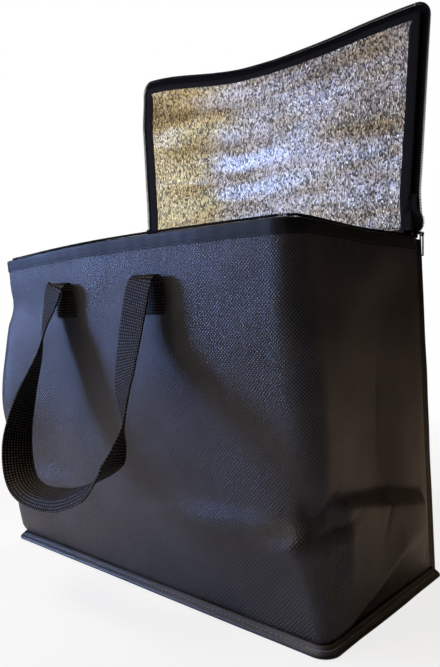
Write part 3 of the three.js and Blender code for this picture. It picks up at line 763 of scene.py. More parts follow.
def even_stations(spot: Spot, inset: float, z: float, ends: tuple[float, float], pitch: float) -> list[float]:
    """Stations at an even spacing along a swept line.

    Args:
        spot: the line's own place function.
        inset: distance in from the outer face in metres.
        z: height in metres.
        ends: first and last station.
        pitch: spacing in metres.
    Returns:
        The stations, from the first end.
    """
    steps = 700
    walk = [lerp(ends[0], ends[1], i / steps) for i in range(steps + 1)]
    points = [spot(s, inset, z) for s in walk]
    found, run, due = [], 0.0, pitch / 2
    for index in range(steps):
        step = (points[index + 1] - points[index]).length
        while step > 0 and run + step >= due:
            found.append(lerp(walk[index], walk[index + 1], (due - run) / step))
            due += pitch
        run += step
    return found


def bead_row(spots: list[Matrix], size: tuple[float, float, float], rounding: float) -> BMesh:
    """A row of small rounded bars, such as stitches or zip teeth.

    Args:
        spots: turn and place of each bar.
        size: length, width and height of a bar in metres.
        rounding: how far its edges are rounded off in metres.
    Returns:
        One mesh of all the bars.
    """
    bm = bmesh.new()
    shape = Matrix.Diagonal((*size, 1.0))
    for spot in spots:
        bmesh.ops.create_cube(bm, size=1.0, matrix=spot @ shape)
    bmesh.ops.bevel(
        bm, geom=bm.edges[:], offset=rounding, segments=1, profile=0.5, affect="EDGES", material=-1,
    )
    return bm


def crinkle(along: float, up: float) -> float:
    """The foil's own roughness over its flat cut, in metres: fine upright creases on broader ones."""
    fine = ripple(along, 0.45 * up, 0.0068, 11.0)
    return 0.28 * MM * fine + 0.35 * MM * ripple(along, up, 0.021, 12.0)


def teeth_row(spot: Spot, inset: float, z: float, ends: tuple[float, float]) -> BMesh:
    """Half of a coil zip along a swept line: a row of small leaning nylon arches.

    Args:
        spot: the line's own place function of station, inset and height.
        inset: distance in from the outer face in metres.
        z: height in metres.
        ends: first and last station.
    Returns:
        Their mesh.
    """
    lean = Matrix.Rotation(math.radians(14), 4, "Z")
    stations = even_stations(spot, inset, z, ends, TOOTH_PITCH)
    return bead_row([ends_of(spot, s, inset, z) @ lean for s in stations], TOOTH, TOOTH_ROUNDING)


def output_of(source: object) -> object:
    """A node's first output, and anything else as it is."""
    return source.outputs[0] if isinstance(source, bpy.types.Node) else source


def add_node(
    tree: bpy.types.NodeTree, kind: str, values: dict[str | int, object] | None = None,
    stops: tuple[tuple[float, str], ...] = (), **settings: object,
) -> bpy.types.Node:
    """Adds a node with its settings and its inputs.

    Args:
        tree: the nodes that it joins.
        kind: the node's type name without its prefix.
        values: inputs by name or number: plain values, outputs, or nodes for their first output.
        stops: a colour ramp's places with their sRGB colours.
        settings: the node's own properties.
    Returns:
        The new node.
    """
    node = tree.nodes.new("ShaderNode" + kind)
    for name, value in settings.items():
        setattr(node, name, value)
    for key, value in (values or {}).items():
        source = output_of(value)
        if isinstance(source, Socket):
            tree.links.new(source, node.inputs[key])
        else:
            node.inputs[key].default_value = source
    for position, _ in stops[2:]:
        node.color_ramp.elements.new(position)
    for index, (position, code) in enumerate(stops):
        node.color_ramp.elements[index].position = position
        node.color_ramp.elements[index].color = linear(code)
    return node


@dataclass(frozen=True)
class Stuff:
    """What every finish starts from: its name and its shader's plain values."""

    name: str
    roughness: float
    metallic: float = 0.0
    specular: float = 0.5
    gloss: str = "#ffffff"

    @lru_cache(maxsize=None)
    def make(self) -> bpy.types.Material:
        """The finished material, made once.

        Returns:
            The material.
        """
        material = bpy.data.materials.new(self.name)
        material.use_nodes = True
        tree = material.node_tree
        shader = tree.nodes["Principled BSDF"]
        plain = {"Roughness": self.roughness, "Metallic": self.metallic}
        if not self.metallic:
            plain |= {"Specular IOR Level": self.specular, "Specular Tint": linear(self.gloss)}
        for name, value in plain.items():
            shader.inputs[name].default_value = value
        for name, source in self.pattern(partial(add_node, tree)).items():
            tree.links.new(output_of(source), shader.inputs[name])
        return material

    def pattern(self, add: AddNode) -> dict[str, bpy.types.Node | Socket]:
        """The nodes of the stuff's own pattern, by the shader's inputs that they drive."""
        raise NotImplementedError

    @staticmethod
    def flat_map(add: AddNode) -> bpy.types.Node:
        """The piece's flat cut in millimetres, for a pattern that follows the cloth."""
        return add("Mapping", {0: add("UVMap", uv_map="flat"), "Scale": PER_MM})


@dataclass(frozen=True)
class NonWoven(Stuff):
    """Spunbond polypropylene or a fine tape: embossed with bonding points, blotched and fibrous.

    The points are about 1 mm apart on the real cloth. The emboss is the spacing in millimetres that they
    are drawn at, coarser on the shell so that they show. The fibres are 1.1 mm and the blotches 48 mm.
    """

    emboss: float = 2.2
    dark: str = "#060505"
    light: str = "#45413e"
    depth: float = 0.45 * MM

    def pattern(self, add: AddNode) -> dict[str, bpy.types.Node | Socket]:
        """Bonding points in a slanting grid over fibres and blotches.

        Args:
            add: adds a node to the material.
        Returns:
            Nodes or outputs, by the shader's input that each drives.
        """
        cut = self.flat_map(add)
        turned = add("Mapping", {0: cut, "Rotation": (0, 0, math.radians(45))})
        grid = {0: turned, "Scale": math.pi / (10 * self.emboss), "Distortion": 0.8, "Detail": 1.0}
        across, upwards = (add("TexWave", grid, bands_direction=way).outputs["Fac"] for way in "XY")
        points = add("Math", {0: across, 1: upwards}, operation="MULTIPLY")
        fibres = add("TexNoise", {0: cut, "Scale": 1 / 1.1, "Detail": 3.0}).outputs["Fac"]
        blotches = add("TexNoise", {0: cut, "Scale": 1 / 48, "Detail": 2.0}).outputs["Fac"]
        relief = add("Math", {0: fibres, 1: 1.1, 2: points}, operation="MULTIPLY_ADD")
        tone = add("Math", {0: blotches, 1: 0.5, 2: points}, operation="MULTIPLY_ADD")
        tone = add("Math", {0: fibres, 1: 0.9, 2: tone}, operation="MULTIPLY_ADD")
        shade = add("ValToRGB", {0: tone}, stops=((0.70, self.dark), (1.0, self.light)))
        rough = {3: self.roughness - 0.05, 4: self.roughness + 0.05}
        worn = add("MapRange", {0: blotches, 1: 0.3, 2: 0.7, **rough})
        bump = add("Bump", {"Strength": 0.75, "Distance": self.depth, "Height": relief})
        return {"Base Color": shade, "Roughness": worn, "Normal": bump}


@dataclass(frozen=True)
class Webbing(Stuff):
    """Woven polypropylene webbing: a grid of short yarns.

    The yarns are about 1.5 mm apart on the real strap and are drawn about twice as coarse, to show.
    """

    rib: float = 2.6
    yarn: float = 2.8

    def pattern(self, add: AddNode) -> dict[str, bpy.types.Node | Socket]:
        """Ribs across the strap and yarns along it, with a little fuzz.

        Args:
            add: adds a node to the material.
        Returns:
            Nodes or outputs, by the shader's input that each drives.
        """
        cut = self.flat_map(add)
        ways = (("Y", self.rib, 0.5), ("X", self.yarn, 0.4))
        ribs, yarns = (
            add(
                "TexWave", {0: cut, "Scale": math.pi / (10 * size), "Distortion": uneven, "Detail": 1.0},
                bands_direction=way,
            ).outputs["Fac"]
            for way, size, uneven in ways
        )
        weave = add("Math", {0: ribs, 1: yarns}, operation="MULTIPLY")
        fuzz = add("TexNoise", {0: cut, "Scale": 1 / 2.2, "Detail": 2.0}).outputs["Fac"]
        tone = add("Math", {0: weave, 1: fuzz}, operation="MULTIPLY")
        shade = add("ValToRGB", {0: tone}, stops=((0.12, "#060606"), (0.50, "#6f675d")))
        bump = add("Bump", {"Strength": 0.8, "Distance": 0.35 * MM, "Height": weave})
        return {"Base Color": shade, "Normal": bump}


@dataclass(frozen=True)
class Foil(Stuff):
    """Metallised film on foam: crinkled in grains of about 1.5 by 2.7 mm, warm and cool by patches."""

    def pattern(self, add: AddNode) -> dict[str, bpy.types.Node | Socket]:
        """Upright grains and streaks, in level bands and broad patches of warmer and cooler tint.

        Args:
            add: adds a node to the material.
        Returns:
            Nodes or outputs, by the shader's input that each drives.
        """
        cut = self.flat_map(add)
        stretched = add("Mapping", {0: cut, "Scale": (1 / 1.5, 1 / 2.7, 1)})
        grains = add("TexVoronoi", {0: stretched, "Scale": 1.0}, feature="F1")
        streaks = add("TexNoise", {0: stretched, "Scale": 1.1, "Detail": 3.0}).outputs["Fac"]
        bent = add("Mapping", {0: cut, "Scale": (1 / 150, 1 / 30, 1)})
        level = {0: bent, "Scale": 1.0, "Detail": 2.5, "Distortion": 0.6}
        bands = add("TexNoise", level).outputs["Fac"]
        spread = add("Mapping", {0: cut, "Scale": (1 / 120, 1 / 120, 1)})
        patches = add("TexNoise", {0: spread, "Scale": 1.0, "Detail": 1.0}).outputs["Fac"]
        across = add("SeparateXYZ", {0: cut})
        near = add("MapRange", {0: across, 1: 70.0, 2: 150.0, 3: -0.42, 4: -0.12})
        tint = add("Math", {0: bands, 1: 0.8, 2: near}, operation="MULTIPLY_ADD")
        tint = add("Math", {0: patches, 1: 0.5, 2: tint}, operation="MULTIPLY_ADD")
        hues = ((0.26, "#dcbd78"), (0.66, "#e2dfdc"), (0.40, "#dfcfa2"), (0.50, "#e2d6c0"))
        hue = add("ValToRGB", {0: tint}, stops=hues)
        random = add("SeparateColor", {0: grains.outputs["Color"]})
        lively = add("Math", {0: random, 1: 0.6, 2: streaks}, operation="MULTIPLY_ADD")
        wavy = add("Math", {0: bands, 1: 0.5, 2: lively}, operation="MULTIPLY_ADD")
        glint = add("MapRange", {0: wavy, 1: 0.80, 2: 1.36, 3: 0.10, 4: 0.95})
        shade = add("Mix", {"Factor": 1.0, 6: hue, 7: glint}, data_type="RGBA", blend_type="MULTIPLY")
        height = {0: grains.outputs["Distance"], 1: 0.8, 2: streaks}
        height = add("Math", height, operation="MULTIPLY_ADD")
        bump = add("Bump", {"Strength": 0.9, "Distance": 0.5 * MM, "Height": height})
        return {"Base Color": shade.outputs[2], "Normal": bump}


@dataclass(frozen=True)
class Moulded(Stuff):
    """A plain solid stuff, such as nylon, foam or board: one colour, broken up by its grain in mm."""

    dark: str = "#0b0b0d"
    light: str = "#17181b"
    grain: float = 1.0
    depth: float = 0.05 * MM

    def pattern(self, add: AddNode) -> dict[str, bpy.types.Node | Socket]:
        """A fine grain through the solid.

        Args:
            add: adds a node to the material.
        Returns:
            Nodes or outputs, by the shader's input that each drives.
        """
        spot = add("Mapping", {0: add("TexCoord").outputs["Object"], "Scale": PER_MM})
        grains = add("TexNoise", {0: spot, "Scale": 1 / self.grain, "Detail": 3.0}).outputs["Fac"]
        shade = add("ValToRGB", {0: grains}, stops=((0.35, self.dark), (0.68, self.light)))
        bump = add("Bump", {"Strength": 0.4, "Distance": self.depth, "Height": grains})
        return {"Base Color": shade, "Normal": bump}


@dataclass(frozen=True)
class Palette:
    """All the bag's finishes, each with what it gives the eye."""

    # Black cloth under a satin film: a soft bluish mirror of the window, broken up by the bonding points.
    shell: Stuff = NonWoven("laminated_non_woven", 0.37, gloss="#f0f2ff")
    # Matt black tape without the film: an even dark line along the hems and back seams.
    tape: Stuff = NonWoven(
        "non_woven_binding_tape", 0.55, specular=0.30, emboss=1.3,
        dark="#08080a", light="#151518", depth=0.10 * MM,
    )
    # Laminated tape round the base: a rounded edge that catches thin highlights.
    piping: Stuff = NonWoven(
        "laminated_binding_tape", 0.40, emboss=1.3, dark="#08080a", light="#1c1c20", depth=0.10 * MM,
    )
    # Brownish black woven ribbon round the lid: soft, with hardly any shine.
    ribbon: Stuff = NonWoven(
        "woven_edge_ribbon", 0.80, specular=0.12, emboss=1.3,
        dark="#0c0a08", light="#2b2520", depth=0.10 * MM,
    )
    # Thick yarns whose tops catch the light in a grid of short pale dashes.
    webbing: Stuff = Webbing("polypropylene_webbing", 0.55, specular=0.07)
    # A crinkled mirror: it glitters in fine upright specks, warm on one side and cool on the other.
    foil: Stuff = Foil("metallised_film", 0.44, metallic=0.85)
    # White closed cells: a pale, dull edge where a layer ends.
    foam: Stuff = Moulded(
        "closed_cell_foam", 0.85, dark="#d9d9d2", light="#efefe9", grain=0.8, depth=0.15 * MM,
    )
    # Grey pressed board with a mottled, dull face.
    board: Stuff = Moulded("pressed_board", 0.75, dark="#343537", light="#4a4a4c", grain=2.5)
    # Close black weave: the darkest and dullest line on the bag.
    zip_tape: Stuff = NonWoven(
        "woven_zip_tape", 0.85, specular=0.08, emboss=0.9, dark="#050505", light="#111111", depth=0.08 * MM,
    )
    # Black nylon, drawn smooth: a row of small soft glints.
    nylon: Stuff = Moulded(
        "nylon_coil", 0.42, specular=0.3, dark="#0a0a0b", light="#181818", grain=0.6,
    )
    # Dark plating on die-cast zinc: small clear reflections on the pull and the stops.
    plated: Stuff = Moulded(
        "black_plated_zinc", 0.30, metallic=1.0, dark="#4c4d50", light="#707276", grain=1.6, depth=0.03 * MM,
    )
    # Twisted thread that shows as a pale bluish dotted line on the base seam.
    pale_thread: Stuff = Moulded(
        "slate_polyester_thread", 0.50, dark="#3c4358", light="#7a83a0", grain=0.5,
    )
    # The same thread in black: stitches that show by their shadows more than by their colour.
    thread: Stuff = Moulded(
        "polyester_thread", 0.60, specular=0.3, dark="#0d0e12", light="#20232c", grain=0.5,
    )


def new_piece(
    name: str, bm: BMesh, finish: Finish, stuff: Stuff, node: str = "", body: str = "",
) -> Piece:
    """Turns a finished mesh into a piece at the origin, smoothly shaded but for its sharp edges.

    Args:
        name: the piece's name.
        bm: its mesh, which is used up.
        finish: the record's slot for its stuff.
        stuff: what it is made of.
        node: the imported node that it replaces, if any.
        body: the body that it rides on, unless it bends between two.
    Returns:
        The new object.
    """
    bm.normal_update()
    mesh = bpy.data.meshes.new(name)
    bm.to_mesh(mesh)
    bm.free()
    mesh.polygons.foreach_set("use_smooth", [True] * len(mesh.polygons))
    mesh.set_sharp_from_angle(angle=math.radians(42))
    mesh.materials.append(stuff.make())
    piece = bpy.data.objects.new(name, mesh)
    bpy.context.scene.collection.objects.link(piece)
    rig.slot(piece, finish.value)
    if node:
        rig.replaces(piece, node)
    if body:
        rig.ride(piece, body)
    LOG.info("%s: %d faces", name, len(mesh.polygons))
    return piece


@dataclass
class Walls:
    """The wrap and the back panel: fabric outside, foam between and foil inside, each its own sheet."""

    form: BagForm
    looks: Palette
    bottom: float = 1.1 * MM
    top: float = 329 * MM
    foam_in: float = 1.4 * MM
    foam: float = 2.2 * MM
    foil_in: float = 4.4 * MM
    foil: float = 0.4 * MM
    lap: float = 5.2 * MM
    inner_gap: float = 5.2 * MM
    outer_gap: float = 1.0 * MM

    def wrap_sheet(self, cell: float, inset: float, extra: Rough | None = None) -> BMesh:
        """One layer of the wrap.

        Args:
            cell: size of a face in metres.
            inset: depth of the layer's outer face in metres.
            extra: a layer's own roughness over its flat cut, in metres.
        Returns:
            The layer's sheet.
        """
        tall = self.top - self.bottom
        wide = self.form.wrap_run

        def place(u: float, v: float) -> Vector:
            """Lays the wrap round the bag from the left back seam to the right one.

            Args:
                u: share of the cut's width.
                v: share of its length.
            Returns:
                The point in the bag's frame.
            """
            own = extra(u * wide, v * tall) if extra else 0.0
            past = self.lap / self.form.side_run if inset == 0.0 else 0.0
            station = lerp(-past, 5.0 + past, u) if u in (0.0, 1.0) else self.form.station(u)
            return self.form.place(station, self.bottom + v * tall, inset + own)

        return cut_cloth(round(wide / cell), round(tall / cell), (wide, tall), place)

    def back_point(self, x: float, z: float, depth: float) -> Vector:
        """A point of the back panel at a depth in from its outer face.

        Args:
            x: place across the bag in metres.
            z: height in metres.
            depth: the depth in metres.
        Returns:
            The point in the bag's frame.
        """
        edge = 1 - smooth(abs(x), 0.150, 0.186)
        free = edge * smooth(z, 0.01, 0.05) * (1 - smooth(z, 0.28, 0.316))
        out = free * (2.2 * MM * ripple(x, z, 0.12, 7.0) + 0.8 * MM * ripple(x, z, 0.04, 8.0))
        out -= free * 2.0 * MM * crease(z - 0.092, 14 * MM)
        return Vector((x, self.form.back - depth + out, z))

    def back_sheet(self, cell: float, depth: float, extra: Rough | None = None) -> BMesh:
        """One layer of the back panel.

        Args:
            cell: size of a face in metres.
            depth: depth of the layer's outer face in metres.
            extra: a layer's own roughness over its flat cut, in metres.
        Returns:
            The layer's sheet.
        """
        tall = self.top - self.bottom
        wide = self.form.base_width

        def place(u: float, v: float) -> Vector:
            """Lays the panel from the right back seam to the left one.

            Args:
                u: share of the cut's width.
                v: share of its length.
            Returns:
                The point in the bag's frame.
            """
            z = self.bottom + v * tall
            half = self.form.back_half(z)
            half -= self.outer_gap if depth < self.foam_in else self.inner_gap
            own = extra(u * wide, v * tall) if extra else 0.0
            return self.back_point(lerp(half, -half, u), z, depth + own)

        return cut_cloth(round(wide / cell), round(tall / cell), (wide, tall), place)

    def build(self) -> list[Piece]:
        """Makes the walls' layers, all riding on the bag.

        Returns:
            The new pieces.
        """
        tall = self.top - self.bottom
        looks = self.looks
        made = []
        for part, shell_name, sheet, wide, cells in (
            ("wrap", "wrap_shell", self.wrap_sheet, self.form.wrap_run, (2.5 * MM, 7 * MM, 3.2 * MM)),
            ("back", "back_panel", self.back_sheet, self.form.base_width, (4 * MM, 9 * MM, 3.4 * MM)),
        ):
            outer = thicken(sheet(cells[0], 0.0), SHELL_THICKNESS)
            shell = new_piece(shell_name, outer, Finish.FABRIC, looks.shell, f"outer_{part}", "bag")
            pad = thicken(sheet(cells[1], self.foam_in), self.foam)
            foam = new_piece(f"{part}_padding", pad, Finish.FOAM, looks.foam, f"{part}_foam", "bag")
            film = thicken(sheet(cells[2], self.foil_in, crinkle), self.foil)
            foil = new_piece(f"{part}_lining", film, Finish.FOIL, looks.foil, f"{part}_liner", "bag")
            for piece in (shell, foil):
                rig.sheet(piece, flat=(wide, tall), held="stretched", rests_on=[f"{part}_padding"])
            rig.padded(foam, fill=PAD_FILL)
            made += [shell, foam, foil]
        return made


@dataclass
class Base:
    """The base: an outer panel on the floor, the stiff board, foam and foil, and the bound seam round it."""

    form: BagForm
    looks: Palette
    foam_inset: float = 5.2 * MM
    foam_top: float = 6.2 * MM
    foam: float = 2.7 * MM
    foil_inset: float = 5.0 * MM
    foil_top: float = 7.1 * MM
    foil: float = 0.3 * MM
    seam: float = 10 * MM
    seam_thickness: float = 2.6 * MM
    tilt: float = math.radians(40)
    clear: float = 0.3 * MM
    lowest: float = 0.15 * MM
    stitch_pitch: float = 4.2 * MM
    section: Profile = Profile((
        (0, -1.25), (4.5, -1.3), (8.6, -1.2), (9.6, -0.75), (10, 0), (9.6, 0.75), (8.6, 1.2), (6.2, 1.3),
        (4.4, 1.05), (2.4, 1.3), (0, 1.25), (0, -1.25),
    ))

    @property
    def seam_run(self) -> float:
        """Length of the seam round the base in metres."""
        return self.form.wrap_run + self.form.base_width

    def panel(self, cell: float, inset: float, z: float, extra: Rough | None = None) -> BMesh:
        """One flat layer of the base.

        Args:
            cell: size of a face in metres.
            inset: distance in from the walls' outer faces in metres.
            z: height of the layer's upper face in metres.
            extra: a layer's own roughness over its flat cut, in metres.
        Returns:
            The layer's sheet, facing up.
        """
        wide = self.form.base_width - 2 * inset
        deep = 2 * self.form.back - 2 * inset

        def place(u: float, v: float) -> Vector:
            """Lays the panel between the walls, its front corners rounded with theirs.

            Args:
                u: share of the cut's width.
                v: share of its length.
            Returns:
                The point in the bag's frame.
            """
            x, y = (u - 0.5) * wide, (v - 0.5) * deep
            near = max(self.form.base_radius - inset, 1.0 * MM)
            dx, dy = abs(x) - wide / 2 + near, -y - deep / 2 + near
            if dx > 0 and dy > 0:
                reach = max(dx, dy) / math.hypot(dx, dy)
                x -= math.copysign(dx * (1 - reach), x)
                y += dy * (1 - reach)
            return Vector((x, y, z + (extra(u * wide, v * deep) if extra else 0.0)))

        return cut_cloth(round(wide / cell), round(deep / cell), (wide, deep), place)

    def seam_point(self, share: float, along: float, across: float) -> Vector:
        """A point of the bound seam.

        Args:
            share: share of the way round the base.
            along: distance out from the seam's root along its slant, in metres.
            across: distance from its middle line, upwards, in metres.
        Returns:
            The point in the bag's frame.
        """
        half = self.seam_thickness / 2
        out = self.clear + half * math.sin(self.tilt)
        up = self.clear + self.seam * math.sin(self.tilt) + half * math.cos(self.tilt)
        out += along * math.cos(self.tilt) + across * math.sin(self.tilt)
        up += -along * math.sin(self.tilt) + across * math.cos(self.tilt)
        return self.form.outline(share % 1.0, max(up, self.lowest), out)

    def binding(self) -> BMesh:
        """The seam's folded tape, closed all round.

        Returns:
            Its mesh.
        """
        length = self.seam_run

        def place(u: float, v: float) -> Vector:
            """Lays the tape round the seam, gathered a little between its stitches.

            Args:
                u: share of the cut's width.
                v: share of its length.
            Returns:
                The point in the bag's frame.
            """
            along, across = self.section.at(v)
            run = u * length
            ruck = 0.18 * MM * ripple(run, v * 0.02, 0.012, 14.0) * smooth(along, 0.001, 0.004)
            wave = 0.5 * MM * ripple(run, 0.0, 0.045, 15.0) * smooth(along, 0.001, 0.008)
            raised = ruck if across > 0 else 0.0
            return self.seam_point(u, along + wave, across * (1 + 40 * ruck) + raised)

        return close_seam(cut_cloth(520, 22, (length, self.section.run), place))

    def stitches(self) -> BMesh:
        """The line of stitches along the seam's upper side.

        Returns:
            Their mesh.
        """
        count = round(self.seam_run / self.stitch_pitch)
        shares = [(index + 0.5) / count for index in range(count)]
        spots = [ends_of(self.seam_point, share, 4.4 * MM, 1.15 * MM) for share in shares]
        return bead_row(spots, (2.9 * MM, 0.75 * MM, 0.55 * MM), 0.2 * MM)

    def build(self) -> list[Piece]:
        """Makes the base's pieces, all riding on the bag.

        Returns:
            The new pieces.
        """
        looks = self.looks
        outer = thicken(self.panel(5 * MM, 0.0, SHELL_THICKNESS), SHELL_THICKNESS)
        floor = new_piece("base_panel", outer, Finish.FABRIC, looks.shell, "outer_base", "bag")
        pad = thicken(self.panel(8 * MM, self.foam_inset, self.foam_top), self.foam)
        foam = new_piece("base_padding", pad, Finish.FOAM, looks.foam, "base_foam", "bag")
        film = thicken(self.panel(2.4 * MM, self.foil_inset, self.foil_top, crinkle), self.foil)
        foil = new_piece("base_lining", film, Finish.FOIL, looks.foil, "base_liner", "bag")
        tape = self.binding()
        seam = new_piece("base_seam_binding", tape, Finish.BINDING, looks.piping, "base_binding", "bag")
        row = self.stitches()
        thread = new_piece("base_seam_stitches", row, Finish.BINDING, looks.pale_thread, body="bag")
        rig.sheet(floor, flat=(self.form.base_width, 2 * self.form.back), held="laid", rests_on=["base_board"])
        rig.sheet(foil, flat=(0.400, 0.180), held="laid", rests_on=["base_padding"])
        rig.padded(foam, fill=PAD_FILL)
        return [floor, foam, foil, seam, thread]


@dataclass
class Rim:
    """The hem round the mouth with its stitching, the bound back seams, and the rim's half of the zip."""

    form: BagForm
    looks: Palette
    hem: Profile = Profile((
        (-1.0, 318.0), (-1.05, 322.0), (-1.0, 328.4), (-0.6, 329.5), (0.4, 330.0), (4.4, 330.0), (5.4, 329.5),
        (5.8, 328.4), (5.8, 318.2),
    ))
    back_hem: Profile = Profile((
        (-1.0, 318.0), (-1.0, 328.4), (-0.6, 329.4), (0.4, 330.0), (4.4, 330.0), (5.4, 329.4), (5.8, 328.4),
        (5.8, 318.2),
    ))
    seam_section: Profile = Profile((
        (-2.6, 0.3), (0.0, 0.3), (0.1, 4.0), (-0.15, 6.0), (0.1, 8.0), (0.0, 10.9), (-0.5, 11.7),
        (-1.3, 12.0), (-2.1, 11.7), (-2.6, 10.9), (-2.7, 8.0), (-2.45, 6.0), (-2.7, 4.0), (-2.6, 0.3),
    ))
    seam_ends: tuple[float, float] = (9.2 * MM, 328.6 * MM)
    seam_stitch_ends: tuple[float, float] = (14 * MM, 324 * MM)
    seam_stitch_back: float = 6 * MM
    tape: float = 0.7 * MM
    back_half: float = 183 * MM
    tail: float = 0.088
    zip_tape_inset: float = 6.15 * MM
    zip_tape: float = 0.6 * MM
    coil_inset: float = 6.4 * MM
    coil_z: float = 332.3 * MM
    stitch_z: float = 320.6 * MM

    def spot(self, station: float, inset: float, z: float) -> Vector:
        """A point of the wall, in the order that a swept line takes its place."""
        return self.form.place(station, z, inset)

    def hem_sheet(self) -> BMesh:
        """The tape folded over the wrap's cut edge.

        Returns:
            Its sheet.
        """
        wide = self.form.wrap_run

        def place(u: float, v: float) -> Vector:
            """Lays the tape along the rim, its lower edges a little uneven.

            Args:
                u: share of the cut's width.
                v: share of its length.
            Returns:
                The point in the bag's frame.
            """
            inset, z = self.hem.at(v)
            run = u * wide
            free = 1 - smooth(z, 0.319, 0.327)
            z += 0.35 * MM * ripple(run, v, 0.028, 16.0) * free
            puff = 0.10 * MM * math.sin(2 * math.pi * run / 0.0165 + 2 * ripple(run, v, 0.05, 17.0))
            inset -= math.copysign(puff, 2.4 * MM - inset) * smooth(z, 0.320, 0.325)
            return self.form.place(self.form.station(u), z, inset)

        return cut_cloth(330, 18, (wide, self.hem.run), place)

    def back_hem_sheet(self) -> BMesh:
        """The tape folded over the back panel's cut edge.

        Returns:
            Its sheet.
        """
        wide = 2 * self.back_half

        def place(u: float, v: float) -> Vector:
            """Lays the tape along the back rim, from right to left."""
            depth, z = self.back_hem.at(v)
            return Vector((lerp(self.back_half, -self.back_half, u), self.form.back - depth, z))

        return cut_cloth(150, 16, (wide, self.back_hem.run), place)

    def seam_wave(self, side: float, z: float, back: float, share: float) -> float:
        """How far a back seam's free edge waves outwards, at a height, a depth and a share of its length."""
        return 0.9 * MM * ripple(z, side, 0.05, 18.0) * smooth(back, 0.002, 0.011) * swell(share)

    def seam(self, side: float) -> BMesh:
        """A bound seam down one back corner.

        Args:
            side: 1 for the right corner, -1 for the left.
        Returns:
            Its mesh.
        """
        low, high = self.seam_ends

        def place(u: float, v: float) -> Vector:
            """Stands the tape along the corner, with a slight wave in its free edge.

            Args:
                u: share of the cut's width.
                v: share of its length.
            Returns:
                The point in the bag's frame.
            """
            out, back = self.seam_section.at(u)
            z = lerp(low - 0.55 * back, high, v)
            wave = self.seam_wave(side, z, back, v)
            return Vector((side * (self.form.back_half(z) + out + wave), self.form.back + back, z))

        return close_seam(cut_cloth(30, 110, (self.seam_section.run, high - low), place))

    def seam_stitches(self, side: float) -> BMesh:
        """The stitches down both faces of a back seam.

        Args:
            side: 1 for the right corner, -1 for the left.
        Returns:
            Their mesh.
        """
        spots = []
        low, high = self.seam_stitch_ends
        back = self.seam_stitch_back
        turn = Matrix.Rotation(math.pi / 2, 4, "Y")
        count = round((high - low) / STITCH_PITCH)
        for index in range(count):
            z = lerp(low, high, (index + 0.5) / count)
            share = (z - self.seam_ends[0]) / (self.seam_ends[1] - self.seam_ends[0])
            out = self.form.back_half(z) + self.seam_wave(side, z, back, share)
            for face in (-2.5 * MM, -0.1 * MM):
                spots.append(Matrix.Translation((side * (out + face), self.form.back + back, z)) @ turn)
        return bead_row(spots, (2.5 * MM, 0.6 * MM, 0.5 * MM), STITCH_ROUNDING)

    def zip_band(self) -> BMesh:
        """The zip's tape, sewn inside the hem, with a tail past each back corner.

        Returns:
            Its sheet.
        """
        side = self.form.side_run
        total = self.form.wrap_run
        tail = self.tail * side
        wide = total + 2 * tail

        def place(u: float, v: float) -> Vector:
            """Lays the tape along the inside of the hem; its tails are trimmed narrow.

            Args:
                u: share of the cut's width.
                v: share of its length.
            Returns:
                The point in the bag's frame.
            """
            run = u * wide - tail
            if run < 0:
                station = run / side
            elif run > total:
                station = 5.0 + (run - total) / side
            else:
                station = self.form.station(run / total)
            past = max(-run, run - total, 0.0) / tail
            low = lerp(319.0, 325.5, smooth(past, 0.0, 0.4)) * MM
            return self.form.place(station, lerp(low, 331.0 * MM, v), self.zip_tape_inset)

        return cut_cloth(300, 6, (wide, 12 * MM), place)

    def hem_stitches(self) -> BMesh:
        """The line of stitches along both sides of the hem.

        Returns:
            Their mesh.
        """
        spots = []
        for inset in (-1.05 * MM, 5.85 * MM):
            stations = even_stations(self.spot, inset, self.stitch_z, (0.02, 4.98), STITCH_PITCH)
            spots += [ends_of(self.spot, s, inset, self.stitch_z) for s in stations]
        count = round(2 * self.back_half / STITCH_PITCH)
        for face in (96.05 * MM, 89.15 * MM):
            for index in range(count):
                x = lerp(-self.back_half, self.back_half, (index + 0.5) / count)
                spots.append(Matrix.Translation((x, face, self.stitch_z)))
        return bead_row(spots, (2.6 * MM, 0.5 * MM, 0.6 * MM), STITCH_ROUNDING)

    def build(self) -> list[Piece]:
        """Makes the rim's pieces, all riding on the bag.

        Returns:
            The new pieces.
        """
        looks = self.looks
        teeth = teeth_row(self.spot, self.coil_inset, self.coil_z, (-self.tail, 5.0 + self.tail))
        band = thicken(self.zip_band(), self.zip_tape)
        parts = [
            ("rim_hem", thicken(self.hem_sheet(), self.tape), Finish.BINDING, looks.tape, "rim_binding"),
            ("back_hem", thicken(self.back_hem_sheet(), self.tape), Finish.BINDING, looks.tape, ""),
            ("hem_stitches", self.hem_stitches(), Finish.BINDING, looks.thread, ""),
            ("rim_zip_band", band, Finish.ZIP, looks.zip_tape, "rim_zip_tape"),
            ("rim_zip_teeth", teeth, Finish.ZIP, looks.nylon, "rim_zip_coil"),
        ]
        for hand in Hand:
            name = hand.name.lower()
            node = f"back_binding_{name}"
            row = self.seam_stitches(hand.value)
            parts.append((f"back_seam_{name}", self.seam(hand.value), Finish.BINDING, looks.tape, node))
            parts.append((f"back_seam_stitches_{name}", row, Finish.BINDING, looks.thread, ""))
        return [new_piece(*part, body="bag") for part in parts]


